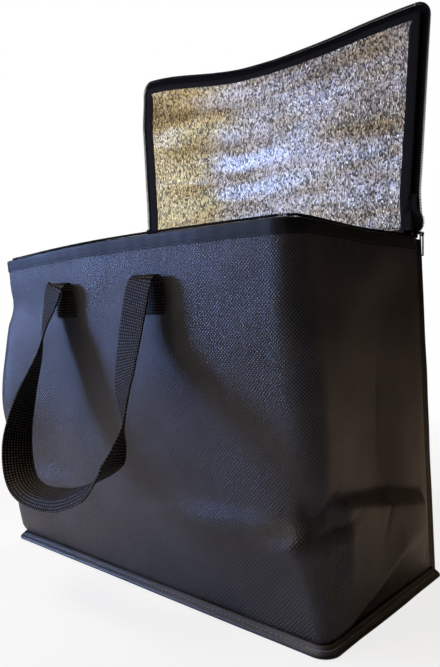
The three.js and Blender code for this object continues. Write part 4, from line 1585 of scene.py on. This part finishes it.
@dataclass
class Lid:
    """The lid: cover, padding and crinkled lining, its bound edge and its half of the zip."""

    form: LidForm
    looks: Palette
    edge_inset: float = 15.5 * MM
    panel_gap: float = 0.5 * MM
    binding: Profile = Profile((
        (26.0, -3.1), (20.0, -3.4), (15.6, -3.3), (14.8, -2.7), (14.5, -1.6), (14.5, 1.6), (14.8, 2.7),
        (15.6, 3.3), (20.0, 3.4), (26.0, 3.1),
    ))
    band: Profile = Profile(((16.5, 0.3), (7.4, 0.3)))
    tape: float = 0.7 * MM
    zip_tape: float = 0.6 * MM
    cover_z: float = 2.4 * MM
    foam_z: float = 1.2 * MM
    foam: float = 2.5 * MM
    foil: float = 0.3 * MM
    stitch_z: float = 3.4 * MM
    coil_inset: float = 6.4 * MM
    zip_start: float = 0.055

    def panel(self, cell: float, z: float, upward: bool, extra: Rough | None = None) -> BMesh:
        """One layer of the lid's panel.

        Args:
            cell: size of a face in metres.
            z: height of the layer's outer face over the middle layer, the cover upwards, in metres.
            upward: whether that face looks towards the cover.
            extra: a layer's own roughness over its flat cut, in metres.
        Returns:
            The layer's sheet.
        """
        line = self.form.bag.line(self.form.bag.height, self.edge_inset)
        front = line.front + self.panel_gap
        deep = self.form.rear - front
        front_half = line.centre.x + line.radius - self.panel_gap
        back_half = line.side_end.x - self.panel_gap
        wide = 2 * front_half

        def place(u: float, v: float) -> Vector:
            """Lays the panel from the free edge to the hinge, or the other way for a face that looks down.

            Args:
                u: share of the cut's width.
                v: share of its length.
            Returns:
                The point in the bag's frame.
            """
            share = v if upward else 1 - v
            half = lerp(front_half, back_half, share)
            own = extra(u * wide, v * deep) if extra else 0.0
            y = lerp(front, self.form.rear, share)
            return self.form.place(lerp(-half, half, u), y, z - own if upward else z + own)

        return cut_cloth(round(wide / cell), round(deep / cell), (wide, deep), place)

    def edge_sheet(self, line: Profile, rows: int, ends: tuple[float, float]) -> BMesh:
        """A tape that follows the lid's zipped edge.

        Args:
            line: the tape's section as insets and heights.
            rows: faces across the tape.
            ends: first and last share of the edge's length.
        Returns:
            Its sheet.
        """
        wide = self.form.bag.wrap_run * (ends[1] - ends[0])

        def place(u: float, v: float) -> Vector:
            """Lays the tape along the edge from the left of the hinge to the right.

            Args:
                u: share of the cut's width.
                v: share of its length.
            Returns:
                The point in the bag's frame.
            """
            inset, z = line.at(v)
            station = self.form.bag.station(lerp(ends[0], ends[1], u))
            if inset > self.edge_inset:
                drawn = self.edge_inset + 0.55 * (inset - self.edge_inset)
                inset = lerp(inset, drawn, self.narrow(station))
            puff = 0.15 * MM * ripple(u * wide, v, 0.02, 21.0)
            return self.form.edge(station, inset, z + math.copysign(puff, z))

        return cut_cloth(300, rows, (wide, line.run), place)

    @staticmethod
    def narrow(station: float) -> float:
        """How far the binding is drawn over the free edge, where its leaves show less, from 0 to 1."""
        return smooth(station, 1.2, 2.0) * (1 - smooth(station, 3.0, 3.8))

    def stitches(self) -> BMesh:
        """Stitches through the binding, on both faces.

        Returns:
            Their mesh.
        """
        spots = []
        for z in (-self.stitch_z, self.stitch_z):
            for s in even_stations(self.form.edge, 22 * MM, z, (0.03, 4.97), STITCH_PITCH):
                inset = lerp(23.5, 19.6, self.narrow(s)) * MM
                spots.append(ends_of(self.form.edge, s, inset, z * 0.98))
        return bead_row(spots, (2.6 * MM, 0.6 * MM, 0.5 * MM), STITCH_ROUNDING)

    def build(self) -> list[Piece]:
        """Makes the lid's pieces, all riding on the lid.

        Returns:
            The new pieces.
        """
        looks = self.looks
        outer = thicken(self.panel(3.5 * MM, self.cover_z, True), SHELL_THICKNESS)
        cover = new_piece("lid_shell", outer, Finish.FABRIC, looks.shell, "lid_cover", "lid")
        pad = thicken(self.panel(8 * MM, self.foam_z, True), self.foam)
        foam = new_piece("lid_padding", pad, Finish.FOAM, looks.foam, "lid_foam", "lid")
        film = thicken(self.panel(1.6 * MM, -self.cover_z, False, crinkle), self.foil)
        foil = new_piece("lid_lining", film, Finish.FOIL, looks.foil, "lid_liner", "lid")
        edge = thicken(self.edge_sheet(self.binding, 18, (0.0, 1.0)), self.tape)
        binding = new_piece("lid_edge_binding", edge, Finish.BINDING, looks.ribbon, "lid_binding", "lid")
        strip = thicken(self.edge_sheet(self.band, 5, (0.012, 0.988)), self.zip_tape)
        band = new_piece("lid_zip_band", strip, Finish.ZIP, looks.zip_tape, "lid_zip_tape", "lid")
        coil = teeth_row(self.form.edge, self.coil_inset, 0.0, (self.zip_start, 5.0 - self.zip_start))
        teeth = new_piece("lid_zip_teeth", coil, Finish.ZIP, looks.nylon, "lid_zip_coil", "lid")
        thread = new_piece("lid_stitches", self.stitches(), Finish.BINDING, looks.thread, body="lid")
        for sheet in (cover, foil):
            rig.sheet(sheet, flat=(0.374, 0.200), held="stretched", rests_on=["lid_padding"])
        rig.padded(foam, fill=PAD_FILL)
        return [cover, foam, foil, binding, band, teeth, thread]


@dataclass
class HingeCloth:
    """The cloth hinge: two leaves that hold the back rim and the lid's rear edge and meet between them."""

    lid: LidForm
    looks: Palette
    half: float = 180 * MM
    thickness: float = 0.6 * MM
    bend: tuple[float, float] = (332.4 * MM, 339.4 * MM)
    outer: Profile = Profile((
        (4.4, 319.0), (4.4, 329.6), (3.2, 331.6), (0.9, 333.4), (0.8, 338.0), (3.3, 341.6), (3.4, 350.0),
    ))

    def leaf(self, side: float) -> BMesh:
        """One leaf, from the back rim up to the lid.

        Args:
            side: 1 for the leaf behind, -1 for the one inside the bag.
        Returns:
            Its sheet.
        """
        wide = 2 * self.half

        def place(u: float, v: float) -> Vector:
            """Lays the leaf from one end of the hinge to the other.

            Args:
                u: share of the cut's width.
                v: share of its length.
            Returns:
                The point in the bag's frame.
            """
            out, z = self.outer.at(v if side > 0 else 0.72 * v)
            out *= side
            x = lerp(side * self.half, -side * self.half, u)
            middle = smooth(z, 0.331, 0.334) * (1 - smooth(z, 0.338, 0.341))
            ruck = 0.25 * MM * ripple(x, z, 0.022, 23.0) * middle
            if z > self.lid.hinge_z:
                out += self.lid.sag(x, (z - self.lid.hinge_z) / self.lid.length)[1]
            return Vector((x, self.lid.hinge_y + out + ruck, z))

        return cut_cloth(130, 26, (wide, self.outer.run), place)

    def build(self) -> list[Piece]:
        """Makes the hinge, which bends between the bag and the lid.

        Returns:
            The new pieces.
        """
        mesh = bmesh.new()
        for side in (1.0, -1.0):
            leaf = thicken(self.leaf(side), self.thickness)
            part = bpy.data.meshes.new("leaf")
            leaf.to_mesh(part)
            leaf.free()
            mesh.from_mesh(part)
            bpy.data.meshes.remove(part)
        cloth = new_piece("hinge_cloth", mesh, Finish.BINDING, self.looks.tape, "hinge_tape")
        start, end = ((0, self.lid.hinge_y, z) for z in self.bend)
        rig.blend(cloth, "bag", "lid", start=start, end=end)
        return [cloth]


@dataclass
class ZipEnd:
    """One end of the zip: the loose length of tape and coil between the rim's back corner and the lid."""

    hand: Hand
    lid: LidForm
    looks: Palette
    length: float = 50 * MM
    width: float = 18 * MM
    end_width: float = 8 * MM
    thickness: float = 0.7 * MM
    bend: tuple[float, float] = (334.5 * MM, 347 * MM)
    # Knots of the right end's middle line in millimetres.
    course: tuple[tuple[float, float, float], ...] = (
        (186.5, 104.5, 331.0), (189.0, 102.0, 334.6), (195.5, 100.0, 340.0), (197.5, 98.0, 348.0),
        (194.0, 96.2, 356.0), (192.2, 95.6, 364.0), (193.0, 95.8, 372.0),
    )

    @property
    def side(self) -> float:
        """1 for the right end, -1 for the left."""
        return self.hand.value

    def at(self, share: float) -> Vector:
        """A point of the tape's middle line.

        Args:
            share: share of the tape's length, from the rim.
        Returns:
            The point in the bag's frame.
        """
        knots = [Vector(c) * MM for c in self.course]
        left = share * (len(knots) - 1)
        index = min(int(left), len(knots) - 2)
        t = left - index
        before = knots[max(index - 1, 0)]
        after = knots[min(index + 2, len(knots) - 1)]
        here, there = knots[index], knots[index + 1]
        bend = here + 0.5 * t * ((there - before) + t * (
            2 * before - 5 * here + 4 * there - after + t * (3 * (here - there) + after - before)
        ))
        return Vector((bend.x * self.side, bend.y, bend.z))

    def tape(self) -> BMesh:
        """The loose length of tape.

        Returns:
            Its mesh.
        """

        def place(u: float, v: float) -> Vector:
            """Lays the tape along its line, its width running inwards and gathered into folds.

            Args:
                u: share of the cut's width.
                v: share of its length.
            Returns:
                The point in the bag's frame.
            """
            gather = 1.6 * MM * ripple(u * self.width, v * self.length, 0.009, 27.0 + self.side)
            gather *= smooth(u, 0.0, 0.2)
            inwards = u * lerp(self.width, self.end_width, smooth(v, 0.45, 0.9))
            return self.at(v) + Vector((-self.side * inwards, gather - 2.5 * MM * u, 0.6 * gather))

        tape = thicken(cut_cloth(14, 36, (self.width, self.length), place), self.thickness)
        bmesh.ops.recalc_face_normals(tape, faces=tape.faces[:])
        return tape

    def teeth(self) -> BMesh:
        """The loose length of coil.

        Returns:
            Its mesh.
        """
        spots = []
        count = round(self.length / TOOTH_PITCH)
        for index in range(count):
            share = (index + 0.5) / count
            way = (self.at(min(share + 0.01, 1.0)) - self.at(max(share - 0.01, 0.0))).normalized()
            turn = way.to_track_quat("X", "Z").to_matrix().to_4x4()
            spots.append(Matrix.Translation(self.at(share)) @ turn)
        return bead_row(spots, (0.95 * MM, 2.2 * MM, 2.2 * MM), TOOTH_ROUNDING)

    def build(self) -> list[Piece]:
        """Makes the loose end's tape and teeth, which bend between the bag and the lid.

        Returns:
            The new pieces.
        """
        name = self.hand.name.lower()
        band = new_piece(f"zip_end_{name}", self.tape(), Finish.ZIP, self.looks.ribbon)
        teeth = new_piece(f"zip_end_teeth_{name}", self.teeth(), Finish.ZIP, self.looks.nylon)
        start, end = ((0, self.lid.hinge_y, z) for z in self.bend)
        for piece in (band, teeth):
            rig.blend(piece, "bag", "lid", start=start, end=end)
        return [band, teeth]


@dataclass
class Handle:
    """A carrying handle: one strap, sewn flat to its wall at both ends, folded over and hanging in a loop."""

    side: Side
    form: BagForm
    looks: Palette
    origin: Vector
    spacing: float = 126 * MM
    width: float = 30 * MM
    strap: float = 1.6 * MM
    sewn: float = 29 * MM
    stitch_pitch: float = 3.4 * MM
    bend: tuple[float, float] = (5 * MM, -32 * MM)
    drop: float = 188 * MM
    standoff: float = 55 * MM
    # Each knot of the loop: its place across in half spacings, off the wall in standoffs and down in
    # drops, then the strap's turn, lean and droop there in degrees.
    loop: tuple[tuple[float, ...], ...] = (
        (-1.2, 0.18, 0.16, 20, 0, 0), (-1.22, 0.33, 0.35, 42, 0, 0), (-1.32, 0.57, 0.58, 72, 0, 0),
        (-1.24, 0.82, 0.81, 96, 0, 0), (-0.88, 0.97, 0.98, 102, 6, 15), (-0.1, 1.02, 1.0, 100, 22, 55),
        (0.66, 1.0, 0.91, 106, 20, 55), (1.12, 0.92, 0.79, 88, 3, 10), (1.18, 0.75, 0.65, 46, 0, 0),
        (0.93, 0.47, 0.45, 14, 0, 0), (0.85, 0.25, 0.25, 2, 0, 0),
    )
    droop_line: float = 0.62
    fine: int = 24
    steps: int = 240
    run: float = field(default=0.0, init=False)

    @property
    def name(self) -> str:
        """The wall's name, as the bodies and nodes have it."""
        return self.side.name.lower()

    def to_bag(self, point: Vector) -> Vector:
        """A point of the handle's own frame in the bag's frame."""
        return self.origin + Matrix.Rotation(self.side.value, 3, "Z") @ point

    def on_front(self, x: float, z: float) -> tuple[float, float]:
        """The front wall's station and height at a place in the handle's frame.

        Args:
            x: place across the handle in metres.
            z: height over its line of turning.
        Returns:
            The station and the height over the floor.
        """
        spot = self.to_bag(Vector((x, 0.0, z)))
        line = self.form.line(round(spot.z, 6), 0.0)
        return 2.0 + (spot.x + line.reach) / (2 * line.reach), spot.z

    def wall(self, x: float, z: float) -> float:
        """Where the wall's outer face is, as the handle's own y, at a place in the handle's frame.

        Args:
            x: place across the handle in metres.
            z: height over its line of turning.
        Returns:
            That y in metres.
        """
        if self.side is Side.BACK:
            here = self.to_bag(Vector((x, 0.0, z)))
            return self.origin.y - Walls(self.form, self.looks).back_point(here.x, here.z, 0.0).y
        return self.form.place(*self.on_front(x, z), 0.0).y - self.origin.y

    def sunk(self, x: float) -> float:
        """How far the wall has sunk beside the handle's line of turning, in metres."""
        return 0.0 if self.side is Side.BACK else self.form.droop(*self.on_front(x, 0.0))

    def course(self) -> list[tuple[Vector, Vector]]:
        """The points that the strap's middle line runs through, from one sewn end to the other.

        Returns:
            The points in the handle's frame, each with the strap's turn about its length, its lean and
            its front edge's droop.
        """
        half = self.spacing / 2
        lift = self.strap / 2 + 0.4 * MM

        def end(x: float) -> list[tuple[Vector, Vector]]:
            """The sewn end and its fold, from the sewn end's lower edge upwards.

            Args:
                x: the end's place across the handle in metres.
            Returns:
                Its points, each with no turn, lean or droop.
            """
            low = self.sunk(x)
            heights = (-self.sewn, -0.66 * self.sewn, -0.33 * self.sewn, -2 * MM)
            flat = [Vector((x, self.wall(x, z) - lift, z + low)) for z in heights]
            top = self.wall(x, 3 * MM) - lift
            fold = [Vector((x, top - 3.6 * MM, 4.4 * MM + low)), Vector((x, top - 10.0 * MM, 2.2 * MM + low))]
            return [(point, Vector()) for point in flat + fold]

        hanging = [
            (Vector((a * half, -o * self.standoff, -d * self.drop)), Vector(map(math.radians, angles)))
            for a, o, d, *angles in self.loop
        ]
        return end(-half) + hanging + end(half)[::-1]

    def walk(self, count: int) -> list[tuple[Vector, Vector, Vector]]:
        """Even steps along the strap's smooth middle line.

        Args:
            count: how many steps.
        Returns:
            Each step's point and direction, with the strap's turn, lean and droop there.
        """
        knots = self.course()
        points = [point for point, _ in knots]
        points = [2 * points[0] - points[1], *points, 2 * points[-1] - points[-2]]
        fine: list[tuple[Vector, float]] = []
        for knot, (p0, p1, p2, p3) in enumerate(zip(points, points[1:], points[2:], points[3:])):
            t0, t1 = 0.0, (p1 - p0).length ** 0.5
            t2 = t1 + (p2 - p1).length ** 0.5
            t3 = t2 + (p3 - p2).length ** 0.5
            for i in range(self.fine):
                t = lerp(t1, t2, i / self.fine)
                a1 = p0.lerp(p1, (t - t0) / (t1 - t0))
                a2 = p1.lerp(p2, (t - t1) / (t2 - t1))
                a3 = p2.lerp(p3, (t - t2) / (t3 - t2))
                b1 = a1.lerp(a2, (t - t0) / (t2 - t0))
                b2 = a2.lerp(a3, (t - t1) / (t3 - t1))
                fine.append((b1.lerp(b2, (t - t1) / (t2 - t1)), knot + i / self.fine))
        fine.append((points[-2], len(knots) - 1.0))
        runs = [0.0]
        for (a, _), (b, _) in zip(fine, fine[1:]):
            runs.append(runs[-1] + (b - a).length)
        self.run = runs[-1]
        steps, index = [], 0
        for i in range(count + 1):
            due = runs[-1] * i / count
            while index < len(runs) - 2 and runs[index + 1] < due:
                index += 1
            share = (due - runs[index]) / (runs[index + 1] - runs[index])
            spot = lerp(fine[index][1], fine[index + 1][1], share)
            last = min(int(spot), len(knots) - 2)
            angles = knots[last][1].lerp(knots[last + 1][1], spot - last)
            steps.append((fine[index][0].lerp(fine[index + 1][0], share), angles))
        walked = []
        for i, (point, angles) in enumerate(steps):
            way = (steps[min(i + 1, count)][0] - steps[max(i - 1, 0)][0]).normalized()
            walked.append((point, way, angles))
        return walked

    def strap_mesh(self, first: int, last: int) -> BMesh:
        """A length of the strap, which turns edge-on down its legs and droops at the bottom's front half.

        Args:
            first: the step of the walk that the length begins at.
            last: the step that it ends at.
        Returns:
            Its mesh.
        """
        rows = []
        for point, along, (turn, lean, droop) in self.walk(self.steps):
            back = -math.sin(turn)
            across = Vector((math.cos(turn), back * math.cos(lean), back * math.sin(lean)))
            across = (across - along * across.dot(along)).normalized()
            rows.append((point, across, across.cross(along), droop))

        def place(u: float, v: float) -> Vector:
            """Lays the strap along its course, with a faint wave across it.

            Args:
                u: share of the cut's width.
                v: share of its length.
            Returns:
                The point in the bag's frame.
            """
            step = first + round(v * (last - first))
            point, across, face, droop = rows[step]
            wave = 0.25 * MM * ripple(u * self.width, self.run * step / self.steps, 0.03, 25.0)
            lift = self.strap / 2 + wave
            bent = -droop * smooth(u, 0.56, 0.70)
            past = max(u - self.droop_line, 0.0)
            out = min(u, self.droop_line) - 0.5 + past * math.cos(bent)
            low = past * math.sin(bent)
            return self.to_bag(point + (across * out + face * low) * self.width + face * lift)

        flat = (self.width, self.run * (last - first) / self.steps)
        bm = thicken(cut_cloth(14, last - first, flat, place), self.strap)
        sharp = [e for e in bm.edges if len(e.link_faces) == 2 and e.calc_face_angle() > math.radians(60)]
        bmesh.ops.bevel(bm, geom=sharp, offset=0.4 * MM, segments=2, profile=0.5, affect="EDGES", material=-1)
        return bm

    def stitches(self) -> BMesh:
        """The sewn ends' stitching: a box with a cross in it on each.

        Returns:
            Its mesh.
        """
        spots = []
        half, margin = self.width / 2 - 3.5 * MM, 4 * MM
        low, high = -self.sewn + margin, -7 * MM
        box = [(-half, low), (half, low), (half, high), (-half, high)]
        runs = [(0, 1), (1, 2), (2, 3), (3, 0), (0, 2), (1, 3)]
        half_turn = Matrix.Rotation(self.side.value, 3, "Z")
        for x in (-self.spacing / 2, self.spacing / 2):
            for a, b in ((box[i], box[k]) for i, k in runs):
                way = half_turn @ Vector((b[0] - a[0], 0.0, b[1] - a[1]))
                turn = way.to_track_quat("X", "Z").to_matrix().to_4x4()
                count = round(math.dist(a, b) / self.stitch_pitch)
                for i in range(count):
                    u, z = (lerp(a[k], b[k], (i + 0.5) / count) for k in (0, 1))
                    y = self.wall(x + u, z) - self.strap - 0.45 * MM
                    here = self.to_bag(Vector((x + u, y, z + self.sunk(x))))
                    spots.append(Matrix.Translation(here) @ turn)
        return bead_row(spots, (2.5 * MM, 0.55 * MM, 0.55 * MM), 0.16 * MM)

    def build(self) -> list[Piece]:
        """Makes the strap, which bends between the bag and the handle, and its sewn ends on the bag.

        Returns:
            The new pieces.
        """
        self.walk(self.steps)
        fold = round(self.steps * (self.sewn - 2 * MM) / self.run)
        lengths = {
            "strap": (fold, self.steps - fold),
            "end_left": (0, fold),
            "end_right": (self.steps - fold, self.steps),
        }
        made = {}
        for part, (first, last) in lengths.items():
            made[part] = new_piece(
                f"{self.name}_webbing_{part}", self.strap_mesh(first, last), Finish.WEBBING,
                self.looks.webbing, f"{self.name}_handle_{part}", "" if part == "strap" else "bag",
            )
        start, end = (tuple(self.to_bag(Vector((0.0, 0.0, z)))) for z in self.bend)
        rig.blend(made["strap"], "bag", f"{self.name}_handle", start=start, end=end)
        row = self.stitches()
        thread = new_piece(f"{self.name}_strap_stitches", row, Finish.WEBBING, self.looks.thread, body="bag")
        return [*made.values(), thread]


@dataclass
class Fittings:
    """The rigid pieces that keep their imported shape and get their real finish."""

    looks: Palette

    def build(self) -> list[Piece]:
        """Dresses the board, the slider, the pull and the stops.

        Returns:
            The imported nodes.
        """
        dress = {
            "base_board": self.looks.board, "zip_slider": self.looks.nylon, "zip_pull": self.looks.plated,
            "zip_stop_left": self.looks.plated, "zip_stop_right": self.looks.plated,
        }
        for name, stuff in dress.items():
            frame["nodes"][name].material_slots[0].material = stuff.make()
            LOG.info("%s: packed shape", name)
        return [frame["nodes"][name] for name in dress]


@dataclass
class Studio:
    """The floor, the soft lights, the pale surroundings and the camera at the photograph's place.

    The focal length is in pixels of the photograph, and the angles are in radians.
    """

    eye: Vector = field(default_factory=lambda: Vector((0.4656, -0.5051, 0.2668)))
    yaw: float = -0.723
    pitch: float = -0.042
    roll: float = -0.018
    focal: float = 648.0

    def camera(self) -> None:
        """Sets the camera, with its lens worked out for the photograph's longer side."""
        data = bpy.data.cameras.new("camera")
        data.sensor_width = 36.0
        data.lens = self.focal / PHOTO_HEIGHT * data.sensor_width
        data.clip_start = 0.01
        cos_pitch = math.cos(self.pitch)
        ahead = Vector((math.sin(self.yaw) * cos_pitch, math.cos(self.yaw) * cos_pitch, math.sin(self.pitch)))
        right = Vector((math.cos(self.yaw), -math.sin(self.yaw), 0.0))
        up = right.cross(ahead)
        cos, sin = math.cos(self.roll), math.sin(self.roll)
        rolled = Matrix((right * cos + up * sin, up * cos - right * sin, -ahead)).transposed().to_4x4()
        camera = bpy.data.objects.new("camera", data)
        camera.matrix_world = Matrix.Translation(self.eye) @ rolled
        bpy.context.scene.collection.objects.link(camera)
        bpy.context.scene.camera = camera

    def lamp(
        self, name: str, spot: tuple[float, float, float], aim: tuple[float, float, float], size: float,
        power: float, colour: str, spread: float,
    ) -> None:
        """Adds a square soft light.

        Args:
            name: the lamp's name.
            spot: its place in metres.
            aim: the place that it looks at in metres.
            size: its side in metres.
            power: its power in watts.
            colour: its sRGB colour.
            spread: the angle in degrees that its light fans out to.
        """
        data = bpy.data.lights.new(name, "AREA")
        data.size = size
        data.energy = power
        data.color = linear(colour)[:3]
        data.spread = math.radians(spread)
        lamp = bpy.data.objects.new(name, data)
        way = Vector(aim) - Vector(spot)
        lamp.matrix_world = Matrix.Translation(spot) @ way.to_track_quat("-Z", "Y").to_matrix().to_4x4()
        bpy.context.scene.collection.objects.link(lamp)

    def floor(self) -> None:
        """Lays a pale floor, lighter away from the bag; only the camera sees it glow."""
        bm = bmesh.new()
        bmesh.ops.create_grid(bm, x_segments=2, y_segments=2, size=4.0)
        mesh = bpy.data.meshes.new("floor")
        bm.to_mesh(mesh)
        bm.free()
        material = bpy.data.materials.new("pale_floor")
        material.use_nodes = True
        tree = material.node_tree
        shader = tree.nodes["Principled BSDF"]
        shader.inputs["Base Color"].default_value = linear("#f4f4f4")
        shader.inputs["Roughness"].default_value = 0.9
        add = partial(add_node, tree)
        camera_ray = add("LightPath").outputs["Is Camera Ray"]
        glow = add("Emission", {"Color": (1, 1, 1, 1), "Strength": 1.0})
        spot = add("TexCoord").outputs["Object"]
        away = add("VectorMath", {0: spot}, operation="LENGTH").outputs["Value"]
        pale = add("MapRange", {0: away, 1: 0.35, 2: 1.0, 3: 0.80, 4: 1.0})
        share = add("Math", {0: camera_ray, 1: pale}, operation="MULTIPLY")
        both = add("MixShader", {0: share, 1: shader, 2: glow})
        tree.links.new(both.outputs[0], tree.nodes["Material Output"].inputs["Surface"])
        mesh.materials.append(material)
        floor = bpy.data.objects.new("floor", mesh)
        bpy.context.scene.collection.objects.link(floor)
        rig.stage(floor)

    def surroundings(self) -> None:
        """Fills the scene with a faint warm light; only the camera sees the white behind the bag."""
        world = bpy.data.worlds.new("surroundings")
        world.use_nodes = True
        tree = world.node_tree
        soft = tree.nodes["Background"]
        soft.inputs["Color"].default_value = linear("#e8ddd0")
        soft.inputs["Strength"].default_value = 0.03
        add = partial(add_node, tree)
        white = add("Background", {"Color": (1, 1, 1, 1), "Strength": 1.0})
        camera_ray = add("LightPath").outputs["Is Camera Ray"]
        both = add("MixShader", {0: camera_ray, 1: soft, 2: white})
        tree.links.new(both.outputs[0], tree.nodes["World Output"].inputs["Surface"])
        bpy.context.scene.world = world

    def build(self) -> None:
        """Sets up the whole studio."""
        bpy.context.scene.view_settings.view_transform = "Standard"
        self.camera()
        self.floor()
        self.surroundings()
        self.lamp("window", (-2.05, -1.40, 0.66), (0.0, -0.1, 0.30), 0.45, 6.0, "#9cbaff", 60.0)
        self.lamp("floor_light", (-0.55, -0.80, 1.5), (-0.22, -0.42, 0.0), 0.8, 2.5, "#fff0de", 50.0)
        self.lamp("lid_light", (-1.05, -1.47, 1.03), (0.0, 0.1, 0.47), 0.7, 0.8, "#ffeed8", 60.0)
        self.lamp("back_light", (-1.0, 1.8, 1.0), (0.0, 0.1, 0.32), 0.8, 2.2, "#fff4e8", 45.0)
        self.lamp("room", (0.75, 0.9, 1.2), (0.5, 0.6, 0.0), 0.5, 1.5, "#ffd09c", 50.0)


def main() -> None:
    """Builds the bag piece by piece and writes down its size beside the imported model's."""
    logging.basicConfig(level=logging.INFO, format="%(name)s %(message)s")
    Studio().build()
    looks = Palette()
    bag = BagForm()
    lid = LidForm(bag)
    assemblies = [
        Walls(bag, looks), Base(bag, looks), Rim(bag, looks), Lid(lid, looks), HingeCloth(lid, looks),
        *(ZipEnd(hand, lid, looks) for hand in Hand),
        Handle(Side.FRONT, bag, looks, Vector((-12 * MM, -127.04 * MM, 290 * MM))),
        Handle(Side.BACK, bag, looks, Vector((12 * MM, 98.3 * MM, 290 * MM)), standoff=46 * MM),
        Fittings(looks),
    ]
    for assembly in assemblies:
        pieces = assembly.build()
        LOG.info("%s: %d pieces", type(assembly).__name__, len(pieces))
    bpy.context.view_layer.update()
    boxes = {"cad": [list(c) for c in CAD_BOX], "visual": [list(c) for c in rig.bounds()]}
    with open(SIZE_FILE, "w", encoding="utf-8") as out:
        json.dump(boxes, out)


if __name__ == "__main__":
    main()
